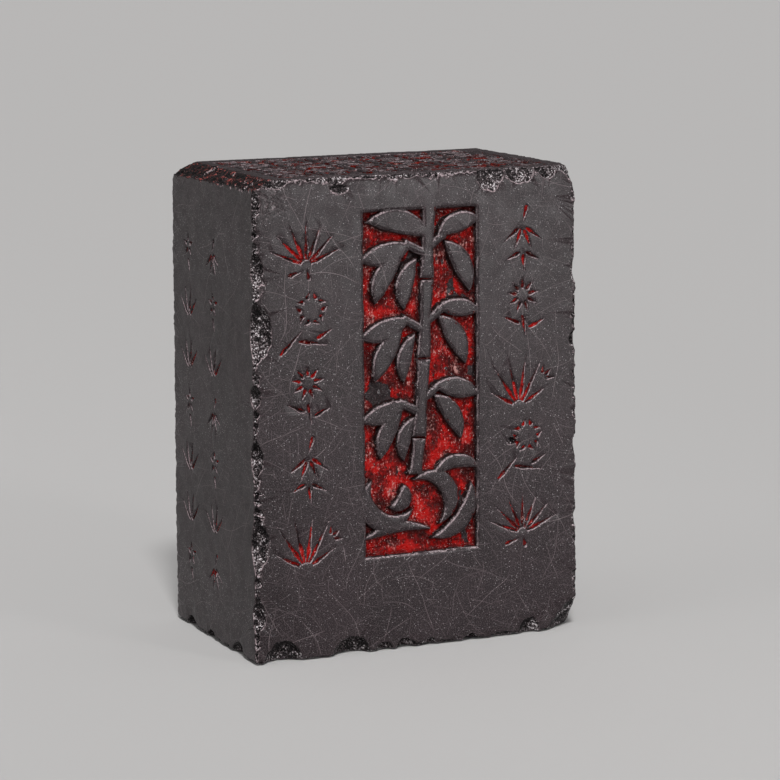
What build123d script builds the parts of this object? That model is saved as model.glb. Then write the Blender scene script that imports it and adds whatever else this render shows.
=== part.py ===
from build123d import *
import math
import os

os.makedirs("parts", exist_ok=True)

# A seal carved from one block of dark stone, standing with its printing face up.
# Millimetres. The carved front faces -Y, the carved side faces -X, and the block rests on Z = 0.
# Its only separate materials are the pigment in the carving and the paste on the printing face.

# The block
block_width = 50.0
block_depth = 31.5
block_height = 67.0
side_lean = 0.5
edge_break = 0.4

# The worn slope along the top of the carved side, wider at the back
worn_side_drop = 1.1
worn_front_leg = 2.3
worn_back_leg = 3.3

# The sunk panel and the relief that stands in it
panel_width = 17.3
panel_height = 48.5
panel_base = 13.45
panel_shift = 0.35
panel_sink = 1.1
stem_width = 2.1
stem_waist_share = 0.8
stem_gap = 0.35

# The knife-cut columns
stroke_width = 0.62
stroke_depth = 0.4
front_motif_size = 8.7
left_column_inset = 8.2
right_column_inset = 8.8
front_column_foot = 12.6
front_column_pitch = 10.1
side_motif_size = 5.6
side_column_foot = 7.0
side_column_pitch = 7.5
side_front_column_place = 0.3
side_back_column_place = -9.2
side_motif_count = 7

# The printing face
seal_side_margin = 3.9
seal_margin = 1.5
border_width = 1.3
seal_sink = 0.9
fret_line = 0.8
fret_across = 6
fret_deep = 4
fret_steps = 4

# Pigment and paste
panel_pigment_thickness = 0.25
column_pigment_thickness = 0.2
paste_thickness = 0.25

# Chips: widths and legs are shares of this size
chip_size = 6.0
corner_chip_legs = (5.4, 3.2, 5.3)
overrun = 4.0

top_width = block_width - 2 * side_lean
front_plane = Plane.XZ.offset(block_depth / 2)
side_plane = Plane(
    origin=(-block_width / 2, 0, 0), x_dir=(0, -1, 0), z_dir=(-block_height, 0, side_lean)
)
seal_plane = Plane.XY.offset(block_height)
panel_plane = Plane(
    origin=(panel_shift - panel_width / 2, -block_depth / 2, panel_base),
    x_dir=(1, 0, 0),
    z_dir=(0, -1, 0),
)

# Relief in the panel: a bamboo in brush-like strokes over two curls of cloud.
# A stroke is its base and tip as shares of the panel, then the bow of its two sides as shares of its length.
leaf_shares = [
    (0.60, 0.920, 0.03, 0.970, 0.05, -0.27),
    (0.42, 0.900, -0.03, 0.862, 0.22, -0.16),
    (0.34, 0.875, 0.10, 0.735, 0.08, -0.28),
    (0.47, 0.860, 0.36, 0.715, 0.06, -0.30),
    (0.66, 0.925, 1.03, 0.965, 0.30, -0.12),
    (0.72, 0.905, 0.94, 0.755, 0.28, -0.07),
    (0.40, 0.690, -0.03, 0.640, 0.24, -0.14),
    (0.34, 0.655, 0.10, 0.510, 0.10, -0.26),
    (0.45, 0.640, 0.35, 0.505, 0.05, -0.28),
    (0.66, 0.715, 1.03, 0.695, 0.24, -0.16),
    (0.66, 0.690, 0.90, 0.545, 0.27, -0.08),
    (0.62, 0.490, 1.03, 0.455, 0.22, -0.16),
    (0.62, 0.460, 0.86, 0.325, 0.28, -0.06),
    (0.38, 0.450, -0.03, 0.400, 0.24, -0.13),
    (0.33, 0.420, 0.14, 0.285, 0.08, -0.28),
    (0.44, 0.400, 0.35, 0.275, 0.04, -0.30),
]
cloud_shares = [
    (0.44, 0.215, 0.66, 0.080, 0.66, 0.34),
    (0.06, 0.225, 0.42, 0.130, -0.70, -0.36),
    (0.34, 0.205, 0.22, 0.140, 0.62, 0.05),
    (0.60, 0.220, 1.03, 0.235, 0.34, 0.08),
    (0.95, 0.195, 0.60, 0.040, 0.36, 0.10),
    (0.58, 0.068, -0.03, 0.050, -0.17, -0.03),
]
twig_shares = [
    (0.56, 0.885, 0.72, 0.925),
    (0.56, 0.870, 0.36, 0.905),
    (0.54, 0.668, 0.70, 0.712),
    (0.53, 0.650, 0.34, 0.690),
    (0.49, 0.440, 0.66, 0.485),
    (0.48, 0.415, 0.30, 0.448),
]
stem_joint_shares = [(0.585, 1.02), (0.560, 0.795), (0.530, 0.565), (0.485, 0.335), (0.450, 0.225)]


def in_panel(x_share, z_share):
    """A place in the panel, from shares of its width and height."""
    return Vector(x_share * panel_width, z_share * panel_height)


def bowed(base, tip, bow_share):
    """The middle of an arc from base to tip that bows to the left by a share of their distance."""
    run = tip - base
    return (base + tip) * 0.5 + Vector(-run.Y, run.X) * bow_share


def beside(base, tip, distance):
    """An offset to the left of the line from base to tip."""
    run = (tip - base).normalized()
    return Vector(-run.Y, run.X) * distance


with BuildSketch(panel_plane) as relief:
    for base_x, base_z, tip_x, tip_z, left_bow, right_bow in leaf_shares + cloud_shares:
        stroke_base = in_panel(base_x, base_z)
        stroke_tip = in_panel(tip_x, tip_z)
        with BuildLine():
            ThreePointArc(stroke_base, bowed(stroke_base, stroke_tip, left_bow), stroke_tip)
            ThreePointArc(stroke_tip, bowed(stroke_base, stroke_tip, right_bow), stroke_base)
        make_face()
    for base_x, base_z, tip_x, tip_z in twig_shares:
        twig_base = in_panel(base_x, base_z)
        twig_tip = in_panel(tip_x, tip_z)
        twig_side = beside(twig_base, twig_tip, stem_width / 4)
        with BuildLine():
            Polyline(twig_base + twig_side, twig_base - twig_side, twig_tip - twig_side, twig_tip + twig_side,
                     close=True)
        make_face()
    for upper_share, lower_share in zip(stem_joint_shares, stem_joint_shares[1:]):
        upper = in_panel(*upper_share)
        joint = in_panel(*lower_share)
        lower = joint + (upper - joint).normalized() * stem_gap
        end_side = beside(upper, lower, stem_width / 2)
        waist_side = end_side * stem_waist_share
        middle = (upper + lower) * 0.5
        with BuildLine():
            ThreePointArc(upper + end_side, middle + waist_side, lower + end_side)
            Line(lower + end_side, lower - end_side)
            ThreePointArc(lower - end_side, middle - waist_side, upper - end_side)
            Line(upper - end_side, upper + end_side)
        make_face()

with BuildSketch(panel_plane) as panel_ground:
    with Locations((panel_width / 2, panel_height / 2)):
        Rectangle(panel_width, panel_height)
    add(relief.sketch_local, mode=Mode.SUBTRACT)


# Knife-cut sprigs, as strokes from head to tail in shares of the motif size
def ray_strokes(centre, inner_share, outer_share, angles):
    """Strokes that leave a centre at the given angles from straight up."""
    strokes = []
    for angle in angles:
        along = (math.sin(math.radians(angle)), math.cos(math.radians(angle)))
        head = (centre[0] + inner_share * along[0], centre[1] + inner_share * along[1])
        tail = (centre[0] + outer_share * along[0], centre[1] + outer_share * along[1])
        strokes.append((*head, *tail))
    return strokes


def petal_strokes(centre, radius_share, petals):
    """Two strokes for each petal, from its shoulders towards its tip."""
    strokes = []
    for petal in range(petals):
        middle = 2 * math.pi * petal / petals
        for side in (-1, 1):
            shoulder = middle + side * petal_shoulder_turn
            tip = middle + side * petal_tip_turn
            reach = radius_share * petal_waist_share
            strokes.append((
                centre[0] + reach * math.sin(shoulder), centre[1] + reach * math.cos(shoulder),
                centre[0] + radius_share * math.sin(tip), centre[1] + radius_share * math.cos(tip),
            ))
    return strokes


petal_waist_share = 0.6
petal_shoulder_turn = 0.48
petal_tip_turn = 0.1
pine_shares = ray_strokes((0.0, -0.26), 0.08, 0.72, (-68, -46, -24, 0, 22, 45, 67))
pine_shares += [(0.05, -0.50, 0.01, -0.30), (-0.32, -0.42, -0.05, -0.34)]
plum_shares = petal_strokes((0.08, 0.20), 0.29, 5)
plum_shares += [(-0.46, -0.50, -0.06, -0.10), (-0.15, -0.29, 0.40, -0.38), (0.16, -0.27, 0.44, -0.12)]
bamboo_shares = ray_strokes((0.0, 0.18), 0.07, 0.44, (-128, -160, 158, 126))
bamboo_shares += ray_strokes((0.0, -0.24), 0.06, 0.36, (-115, 175, 117))
bamboo_shares += [(0.08, 0.50, 0.0, 0.22)]
orchid_shares = ray_strokes((-0.06, -0.48), 0.10, 0.92, (-34, -14, 8, 28))
orchid_shares += ray_strokes((-0.06, -0.48), 0.12, 0.62, (-62, 58))
orchid_shares += ray_strokes((0.36, -0.02), 0.06, 0.22, (5, 50, 95))
aster_shares = ray_strokes((0.0, 0.20), 0.10, 0.30, [360 * ray / 9 for ray in range(9)])
aster_shares += [(0.0, -0.13, 0.06, -0.50), (-0.05, -0.26, -0.38, -0.12), (0.11, -0.34, 0.42, -0.20)]
front_motif_shares = [pine_shares, plum_shares, bamboo_shares, orchid_shares, aster_shares]
side_motif_shares = [
    ray_strokes((0.0, -0.34), 0.10, 0.80, (-50, -18, 14, 46)),
    ray_strokes((0.0, 0.14), 0.08, 0.56, (-130, -165, 160, 124)) + [(0.12, 0.50, 0.02, 0.20)],
    ray_strokes((0.0, 0.18), 0.10, 0.32, (0, 72, 144, 216, 288)) + [(0.0, -0.18, 0.08, -0.50)],
]


def knife_cut(head, tail, width):
    """The four corners of a cut that is widest near its head and runs out to a point."""
    run = tail - head
    shoulder = head + run * cut_shoulder_share
    side = beside(head, tail, width / 2)
    return head, shoulder + side, tail, shoulder - side


def motif_sketch(strokes, size, width):
    """One motif as a flat sketch about its own centre."""
    with BuildSketch() as motif:
        for head_x, head_y, tail_x, tail_y in strokes:
            head = Vector(head_x * size, head_y * size)
            tail = Vector(tail_x * size, tail_y * size)
            with BuildLine():
                Polyline(*knife_cut(head, tail, width), close=True)
            make_face()
    return motif.sketch_local


cut_shoulder_share = 0.22
side_stroke_width = stroke_width * side_motif_size / front_motif_size
front_motifs = [motif_sketch(strokes, front_motif_size, stroke_width) for strokes in front_motif_shares]
side_motifs = [motif_sketch(strokes, side_motif_size, side_stroke_width) for strokes in side_motif_shares]


def column(plane, motifs, order, place, foot, pitch, size):
    """A column of motifs, set one above another from its foot."""
    with BuildSketch(plane) as cuts:
        for step, which in enumerate(order):
            with Locations((place, foot + size / 2 + step * pitch)):
                add(motifs[which])
    return cuts.sketch_local


left_order = (3, 2, 4, 1, 0)
right_order = (0, 1, 3, 4, 2)
side_front_order = [(2 * step + 1) % len(side_motif_shares) for step in range(side_motif_count)]
side_back_order = [(step * step + 2) % len(side_motif_shares) for step in range(side_motif_count)]
column_cuts = {
    "left_column_pigment": (front_plane, column(
        front_plane, front_motifs, left_order, left_column_inset - block_width / 2,
        front_column_foot, front_column_pitch, front_motif_size)),
    "right_column_pigment": (front_plane, column(
        front_plane, front_motifs, right_order, block_width / 2 - right_column_inset,
        front_column_foot, front_column_pitch, front_motif_size)),
    "side_front_column_pigment": (side_plane, column(
        side_plane, side_motifs, side_front_order, side_front_column_place,
        side_column_foot, side_column_pitch, side_motif_size)),
    "side_back_column_pigment": (side_plane, column(
        side_plane, side_motifs, side_back_order, side_back_column_place,
        side_column_foot, side_column_pitch, side_motif_size)),
}

# The printing face: square spirals inside a raised border
seal_width = top_width - seal_side_margin - seal_margin
seal_depth = block_depth - 2 * seal_margin
seal_shift = (seal_side_margin - seal_margin) / 2
field_width = seal_width - 2 * border_width
field_depth = seal_depth - 2 * border_width
step_across = field_width / (fret_across * fret_steps)
step_deep = field_depth / (fret_deep * fret_steps)
spiral_turn_shares = [(-1.5, -1.5), (1.5, -1.5), (1.5, 1.5), (-1.5, 1.5), (-1.5, -0.5), (0.5, -0.5), (0.5, 0.5),
                      (-0.5, 0.5)]

with BuildSketch(seal_plane) as fret:
    for column_index in range(fret_across):
        for row_index in range(fret_deep):
            turned = -1 if (column_index + row_index) % 2 else 1
            centre_x = seal_shift + (column_index + 0.5 - fret_across / 2) * fret_steps * step_across
            centre_y = (row_index + 0.5 - fret_deep / 2) * fret_steps * step_deep
            for start, end in zip(spiral_turn_shares, spiral_turn_shares[1:]):
                bar_x = turned * (start[0] + end[0]) / 2 * step_across
                bar_y = (start[1] + end[1]) / 2 * step_deep
                with Locations((centre_x + bar_x, centre_y + bar_y)):
                    Rectangle(
                        abs(end[0] - start[0]) * step_across + fret_line,
                        abs(end[1] - start[1]) * step_deep + fret_line,
                    )

with BuildSketch(seal_plane) as seal_ground:
    with Locations((seal_shift, 0)):
        Rectangle(field_width, field_depth)
    add(fret.sketch_local, mode=Mode.SUBTRACT)

# Corners of the block, foot and top, and the outward directions of the faces that meet at its edges
half_depth = block_depth / 2
foot_left_front = Vector(-block_width / 2, -half_depth, 0)
foot_right_front = Vector(block_width / 2, -half_depth, 0)
foot_left_back = Vector(-block_width / 2, half_depth, 0)
foot_right_back = Vector(block_width / 2, half_depth, 0)
top_left_front = Vector(-top_width / 2, -half_depth, block_height)
top_right_front = Vector(top_width / 2, -half_depth, block_height)
top_left_back = Vector(-top_width / 2, half_depth, block_height)
top_right_back = Vector(top_width / 2, half_depth, block_height)
front_out = Vector(0, -1, 0)
back_out = Vector(0, 1, 0)
left_out = Vector(-1, 0, 0)
right_out = Vector(1, 0, 0)
up_out = Vector(0, 0, 1)
down_out = Vector(0, 0, -1)

# Chips along each edge: place along it, then width and reach over its two faces as shares of the chip size
front_foot_chips = [
    (0.08, 1.02, 0.50, 0.30),
    (0.29, 0.98, 0.44, 0.34),
    (0.39, 0.42, 0.22, 0.20),
    (0.455, 0.56, 0.24, 0.26),
    (0.53, 0.40, 0.18, 0.20),
    (0.66, 0.50, 0.14, 0.24),
    (0.845, 0.62, 0.40, 0.14),
]
front_top_chips = [
    (0.06, 0.90, 0.22, 0.18),
    (0.25, 0.56, 0.20, 0.16),
    (0.47, 0.50, 0.14, 0.16),
    (0.725, 0.80, 0.52, 0.16),
    (0.82, 0.86, 0.40, 0.18),
    (0.91, 0.56, 0.30, 0.20),
]
front_left_chips = [
    (0.10, 0.84, 0.26, 0.22),
    (0.25, 1.30, 0.36, 0.26),
    (0.43, 0.96, 0.22, 0.24),
    (0.56, 0.60, 0.18, 0.26),
    (0.69, 1.50, 0.44, 0.26),
    (0.82, 0.84, 0.24, 0.22),
]
front_right_chips = [
    (0.24, 0.50, 0.14, 0.16),
    (0.40, 0.60, 0.12, 0.18),
    (0.63, 0.56, 0.20, 0.16),
    (0.78, 0.70, 0.16, 0.18),
]
left_foot_chips = [
    (0.22, 0.80, 0.30, 0.22),
    (0.55, 0.60, 0.20, 0.22),
    (0.80, 0.70, 0.26, 0.20),
]
left_top_chips = [
    (0.12, 0.50, 0.30, 0.50),
    (0.42, 0.60, 0.28, 0.60),
    (0.70, 0.56, 0.26, 0.68),
]
back_foot_chips = [
    (0.30, 0.70, 0.24, 0.20),
    (0.72, 0.90, 0.30, 0.24),
]
back_top_chips = [
    (0.34, 0.60, 0.20, 0.14),
    (0.80, 0.70, 0.24, 0.16),
]
back_right_chips = [
    (0.36, 0.80, 0.20, 0.18),
    (0.70, 0.60, 0.16, 0.18),
]
chipped_edges = [
    (foot_left_front, foot_right_front, front_out, down_out, front_foot_chips),
    (top_left_front, top_right_front, front_out, up_out, front_top_chips),
    (foot_left_front, top_left_front, front_out, left_out, front_left_chips),
    (foot_right_front, top_right_front, front_out, right_out, front_right_chips),
    (foot_left_front, foot_left_back, left_out, down_out, left_foot_chips),
    (top_left_front, top_left_back, left_out, up_out, left_top_chips),
    (foot_left_back, foot_right_back, back_out, down_out, back_foot_chips),
    (top_left_back, top_right_back, back_out, up_out, back_top_chips),
    (foot_right_back, top_right_back, back_out, right_out, back_right_chips),
]


def scoop(edge_point, edge_run, out_one, out_two, width, leg_one, leg_two):
    """Radius and plane of a round cutter that bites across an edge, with these legs on its two faces."""
    slope = (out_one * leg_one + out_two * leg_two).normalized()
    bite = leg_one * leg_two / math.hypot(leg_one, leg_two)
    radius = (width**2 / 4 + bite**2) / (2 * bite)
    return radius, Plane(origin=edge_point + slope * (radius - bite), z_dir=edge_run.cross(slope))


corner_x, corner_y, corner_z = corner_chip_legs
corner_chip = Plane(
    origin=foot_right_front - Vector(corner_x, 0, 0),
    z_dir=(1 / corner_x, -1 / corner_y, -1 / corner_z),
)
worn_low = top_left_front - Vector(0, 0, worn_side_drop)
worn_front = top_left_front + Vector(worn_front_leg, 0, 0)
worn_back = top_left_back + Vector(worn_back_leg, 0, 0)
worn_slope = Plane(origin=worn_low, z_dir=(worn_front - worn_low).cross(worn_back - worn_low))
if worn_slope.z_dir.X > 0:
    worn_slope = -worn_slope

with BuildPart() as stone_block:
    with BuildSketch(front_plane):
        with BuildLine():
            Polyline(
                (-block_width / 2, 0),
                (block_width / 2, 0),
                (top_width / 2, block_height),
                (-top_width / 2, block_height),
                close=True,
            )
        make_face()
    extrude(amount=-block_depth)
    chamfer(stone_block.edges(), length=edge_break)
    split(bisect_by=worn_slope, keep=Keep.BOTTOM)
    split(bisect_by=corner_chip, keep=Keep.BOTTOM)
    for edge_start, edge_end, out_one, out_two, chips in chipped_edges:
        edge_run = edge_end - edge_start
        for place_share, width_share, leg_one_share, leg_two_share in chips:
            cutter_radius, cutter_plane = scoop(
                edge_start + edge_run * place_share,
                edge_run,
                out_one,
                out_two,
                width_share * chip_size,
                leg_one_share * chip_size,
                leg_two_share * chip_size,
            )
            with Locations(cutter_plane):
                Cylinder(cutter_radius, chip_size + overrun, mode=Mode.SUBTRACT)
    extrude(panel_ground.sketch, amount=-panel_sink, mode=Mode.SUBTRACT)
    extrude(seal_ground.sketch, amount=-seal_sink, mode=Mode.SUBTRACT)
    for cut_plane, cuts in column_cuts.values():
        with BuildSketch(cut_plane):
            add(cuts)
        extrude(amount=-stroke_depth, mode=Mode.SUBTRACT)

with BuildPart() as panel_pigment:
    with BuildSketch(panel_plane.offset(-panel_sink)):
        add(panel_ground.sketch_local)
    extrude(amount=panel_pigment_thickness)

with BuildPart() as seal_face_paste:
    with BuildSketch(seal_plane.offset(-seal_sink)):
        add(seal_ground.sketch_local)
    extrude(amount=paste_thickness)

stone_block.part.label = "stone_block"
panel_pigment.part.label = "panel_pigment"
seal_face_paste.part.label = "seal_face_paste"
export_step(stone_block.part, "parts/stone_block.step")
export_step(panel_pigment.part, "parts/panel_pigment.step")
export_step(seal_face_paste.part, "parts/seal_face_paste.step")

for node_name, (cut_plane, cuts) in column_cuts.items():
    with BuildPart() as column_pigment:
        with BuildSketch(cut_plane.offset(-stroke_depth)):
            add(cuts)
        extrude(amount=column_pigment_thickness)
    column_pigment.part.label = node_name
    export_step(column_pigment.part, "parts/" + node_name + ".step")
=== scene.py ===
import math

import bpy
import numpy as np
from bpy.props import FloatProperty, FloatVectorProperty, IntProperty, PointerProperty
from mathutils import Matrix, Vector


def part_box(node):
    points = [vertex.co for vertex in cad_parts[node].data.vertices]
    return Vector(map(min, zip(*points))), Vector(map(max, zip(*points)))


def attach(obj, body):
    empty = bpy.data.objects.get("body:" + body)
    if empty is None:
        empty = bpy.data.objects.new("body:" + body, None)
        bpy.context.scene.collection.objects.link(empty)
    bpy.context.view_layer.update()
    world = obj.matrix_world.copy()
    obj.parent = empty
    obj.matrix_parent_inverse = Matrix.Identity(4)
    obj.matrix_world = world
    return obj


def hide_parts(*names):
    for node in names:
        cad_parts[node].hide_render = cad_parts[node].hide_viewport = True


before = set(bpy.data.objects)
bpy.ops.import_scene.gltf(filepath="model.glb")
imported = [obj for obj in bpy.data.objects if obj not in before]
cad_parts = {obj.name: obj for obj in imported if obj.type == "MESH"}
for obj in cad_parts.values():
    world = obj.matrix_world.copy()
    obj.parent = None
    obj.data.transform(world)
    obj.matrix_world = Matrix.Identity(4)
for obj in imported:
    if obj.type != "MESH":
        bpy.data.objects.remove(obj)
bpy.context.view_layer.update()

bl_info = {
    "name": "Carved seal stamp",
    "version": (1, 0, 0),
    "blender": (4, 5, 0),
    "location": "3D View > Sidebar > Seal",
    "description": "A worn stone seal with a sunk panel, knife-cut sprigs, red pigment and a fret printing face",
    "category": "Add Mesh",
}

FOOT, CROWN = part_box("stone_block")
TO_MM = 1000.0
UV_NAME = "OFBake"

# Relief in the panel: base and tip of each stroke as shares of the panel, then the bow of its two sides
LEAF_SHARES = [
    (0.60, 0.920, 0.03, 0.970, 0.05, -0.27),
    (0.42, 0.900, -0.03, 0.862, 0.22, -0.16),
    (0.34, 0.875, 0.10, 0.735, 0.08, -0.28),
    (0.47, 0.860, 0.36, 0.715, 0.06, -0.30),
    (0.66, 0.925, 1.03, 0.965, 0.30, -0.12),
    (0.72, 0.905, 0.94, 0.755, 0.28, -0.07),
    (0.40, 0.690, -0.03, 0.640, 0.24, -0.14),
    (0.34, 0.655, 0.10, 0.510, 0.10, -0.26),
    (0.45, 0.640, 0.35, 0.505, 0.05, -0.28),
    (0.66, 0.715, 1.03, 0.695, 0.24, -0.16),
    (0.66, 0.690, 0.90, 0.545, 0.27, -0.08),
    (0.62, 0.490, 1.03, 0.455, 0.22, -0.16),
    (0.62, 0.460, 0.86, 0.325, 0.28, -0.06),
    (0.38, 0.450, -0.03, 0.400, 0.24, -0.13),
    (0.33, 0.420, 0.14, 0.285, 0.08, -0.28),
    (0.44, 0.400, 0.35, 0.275, 0.04, -0.30),
]
CLOUD_SHARES = [
    (0.44, 0.215, 0.66, 0.080, 0.66, 0.34),
    (0.06, 0.225, 0.42, 0.130, -0.70, -0.36),
    (0.34, 0.205, 0.22, 0.140, 0.62, 0.05),
    (0.60, 0.220, 1.03, 0.235, 0.34, 0.08),
    (0.95, 0.195, 0.60, 0.040, 0.36, 0.10),
    (0.58, 0.068, -0.03, 0.050, -0.17, -0.03),
]
TWIG_SHARES = [
    (0.56, 0.885, 0.72, 0.925),
    (0.56, 0.870, 0.36, 0.905),
    (0.54, 0.668, 0.70, 0.712),
    (0.53, 0.650, 0.34, 0.690),
    (0.49, 0.440, 0.66, 0.485),
    (0.48, 0.415, 0.30, 0.448),
]
STEM_JOINT_SHARES = [(0.585, 1.02), (0.560, 0.795), (0.530, 0.565), (0.485, 0.335), (0.450, 0.225)]
FRET_CELLS = (6, 4)
SPIRAL_TURN_SHARES = [(-1.5, -1.5), (1.5, -1.5), (1.5, 1.5), (-1.5, 1.5), (-1.5, -0.5), (0.5, -0.5), (0.5, 0.5),
                      (-0.5, 0.5)]
STEM_GAP = 0.35
LEFT_ORDER = (3, 2, 4, 1, 0)
RIGHT_ORDER = (0, 1, 3, 4, 2)
CUT_SHOULDER, CUT_HEAD = 0.22, 0.28
SIDE_CUT_SHARE = 0.8

# Chips along each edge: place along it, then width and reach over its two faces as shares of the chip size
FRONT_FOOT_CHIPS = [(0.08, 1.02, 0.50, 0.30), (0.29, 0.98, 0.44, 0.34), (0.39, 0.42, 0.22, 0.20),
                    (0.455, 0.56, 0.24, 0.26), (0.53, 0.40, 0.18, 0.20), (0.66, 0.50, 0.14, 0.24),
                    (0.845, 0.62, 0.40, 0.14)]
FRONT_TOP_CHIPS = [(0.06, 0.90, 0.22, 0.18), (0.25, 0.56, 0.20, 0.16), (0.47, 0.50, 0.14, 0.16),
                   (0.725, 0.80, 0.52, 0.16), (0.82, 0.86, 0.40, 0.18), (0.91, 0.56, 0.30, 0.20)]
FRONT_LEFT_CHIPS = [(0.10, 0.84, 0.26, 0.22), (0.25, 1.30, 0.36, 0.26), (0.43, 0.96, 0.22, 0.24),
                    (0.56, 0.60, 0.18, 0.26), (0.69, 1.50, 0.44, 0.26), (0.82, 0.84, 0.24, 0.22)]
FRONT_RIGHT_CHIPS = [(0.24, 0.50, 0.14, 0.16), (0.40, 0.60, 0.12, 0.18), (0.63, 0.56, 0.20, 0.16),
                     (0.78, 0.70, 0.16, 0.18)]
LEFT_FOOT_CHIPS = [(0.22, 0.80, 0.30, 0.22), (0.55, 0.60, 0.20, 0.22), (0.80, 0.70, 0.26, 0.20)]
LEFT_TOP_CHIPS = [(0.12, 0.50, 0.30, 0.50), (0.42, 0.60, 0.28, 0.60), (0.70, 0.56, 0.26, 0.68)]
BACK_FOOT_CHIPS = [(0.30, 0.70, 0.24, 0.20), (0.72, 0.90, 0.30, 0.24)]
BACK_TOP_CHIPS = [(0.34, 0.60, 0.20, 0.14), (0.80, 0.70, 0.24, 0.16)]
BACK_RIGHT_CHIPS = [(0.36, 0.80, 0.20, 0.18), (0.70, 0.60, 0.16, 0.18)]
FRONT_LEFT_REACH = ([0, 0.11, 0.26, 0.42, 0.59, 0.70, 0.83, 0.95, 1], [1.0, 1.0, 2.0, 1.1, 0.9, 2.5, 1.3, 1.0, 2.2])

# Edges: their ends as block_corner takes them, their two faces and large chips, then for the crumbs their number,
# their widths and how far they reach over the first face and over the second
EDGES = [
    ((-1, -1, 0), (1, -1, 0), "front", "bottom", FRONT_FOOT_CHIPS, 20, (0.5, 3.6), 0.8, 0.5),
    ((-1, -1, 1), (1, -1, 1), "front", "top", FRONT_TOP_CHIPS, 90, (0.5, 2.2), 1.25, 0.7),
    ((-1, -1, 0), (-1, -1, 1), "front", "left", FRONT_LEFT_CHIPS, 190, (0.5, 3.2), FRONT_LEFT_REACH, 0.8),
    ((1, -1, 0), (1, -1, 1), "front", "right", FRONT_RIGHT_CHIPS, 60, (0.5, 3.4), 1.0, 0.45),
    ((-1, -1, 0), (-1, 1, 0), "left", "bottom", LEFT_FOOT_CHIPS, 7, (0.6, 2.8), 0.6, 0.35),
    ((-1, -1, 1), (-1, 1, 1), "left", "top", LEFT_TOP_CHIPS, 110, (0.5, 2.0), 2.0, 3.0),
    ((-1, 1, 0), (1, 1, 0), "back", "bottom", BACK_FOOT_CHIPS, 40, (0.5, 2.0), 0.6, 0.6),
    ((-1, 1, 1), (1, 1, 1), "back", "top", BACK_TOP_CHIPS, 50, (0.5, 2.0), 0.6, 0.5),
    ((1, 1, 0), (1, 1, 1), "back", "right", BACK_RIGHT_CHIPS, 60, (0.5, 2.2), 0.6, 0.6),
    ((-1, 1, 0), (-1, 1, 1), "back", "left", [], 5, (0.8, 3.0), 0.4, 0.22),
    ((1, -1, 0), (1, 1, 0), "right", "bottom", [], 30, (0.5, 2.0), 0.6, 0.5),
    ((1, -1, 1), (1, 1, 1), "right", "top", [], 40, (0.5, 1.8), 0.6, 0.6),
]

# Breaks at corners: the corner, the way that the break looks, its depth there and how ragged it is, in millimetres
CORNER_BREAKS = [
    ((1, -1, 1), (1.0, -0.6, 0.5), 1.6, 0.22),
    ((1, -1, 1), (0.5, -0.6, 1.0), 1.6, 0.22),
    ((-1, 1, 1), (-1.0, 0.75, 0.8), 1.5, 0.0),
]

# How far the split corner at the foot runs along its three edges, in millimetres: across, back and up
SPLIT_LEGS = (5.4, 3.2, 5.3)

# Hollows of the front on their own, in millimetres: across, in front of the face and up, then the three radii
FRONT_PITS = [((14.5, 0.35, 28.2), (1.0, 0.95, 0.7)), ((-12.0, 0.5, 65.3), (1.9, 0.85, 0.9))]

# Places on the panel, in millimetres: across, up, half width and half height, then how much red is gone
BARE_PLACES = [(-5.6, 36.0, 2.3, 2.3, 2.2), (-4.4, 59.8, 2.6, 1.2, 0.7), (5.6, 50.0, 1.2, 2.6, 0.9),
               (4.6, 59.9, 1.4, 0.9, 0.8), (-6.6, 19.0, 1.4, 2.0, 0.9), (6.4, 21.0, 1.0, 1.6, 0.8)]
DUSTY_PLACES = [(-4.6, 59.8, 2.6, 1.5), (4.8, 60.0, 1.6, 1.2), (-6.9, 47.2, 1.3, 3.0), (-6.2, 18.6, 1.5, 1.4)]


def length(name, description, default):
    return FloatProperty(name=name, description=description, default=default, unit="LENGTH", precision=5)


def tint(name, description, default):
    return FloatVectorProperty(name=name, description=description, default=default, subtype="COLOR", size=3,
                               min=0, max=1)


class SealBlockSettings(bpy.types.PropertyGroup):
    """The stone block, its wear and its colours"""

    width: length("Width", "Width of the block at its foot", CROWN.x - FOOT.x)
    depth: length("Depth", "Depth of the block from front to back", CROWN.y - FOOT.y)
    height: length("Height", "Height of the block", CROWN.z - FOOT.z)
    side_lean: length("Side lean", "How far each side leans in towards the top", 0.0005)
    edge_break: length("Edge break", "Usual width of the worn arris along every edge", 0.0005)
    chip_size: length("Chip size", "Size that the chip tables are shares of", 0.006)
    worn_side_drop: length("Worn slope drop", "How far the worn slope comes down the side", 0.0011)
    worn_front_leg: length("Worn slope, front", "Width of the worn slope at the front", 0.0023)
    worn_back_leg: length("Worn slope, back", "Width of the worn slope at the back", 0.0033)
    spacing: length("Carving grid", "Distance between the points that are carved", 0.00012)
    faces: IntProperty(name="Faces", description="Triangles left in the stone after carving", default=190000)
    colour: tint("Stone", "Honed stone", (0.0130, 0.0085, 0.0098))
    # The broken colour also paints the highlights on rims and lips that face the light
    broken_colour: tint("Broken stone", "Fresh breaks, scratches and rubbed arrises", (0.36, 0.285, 0.30))


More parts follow.
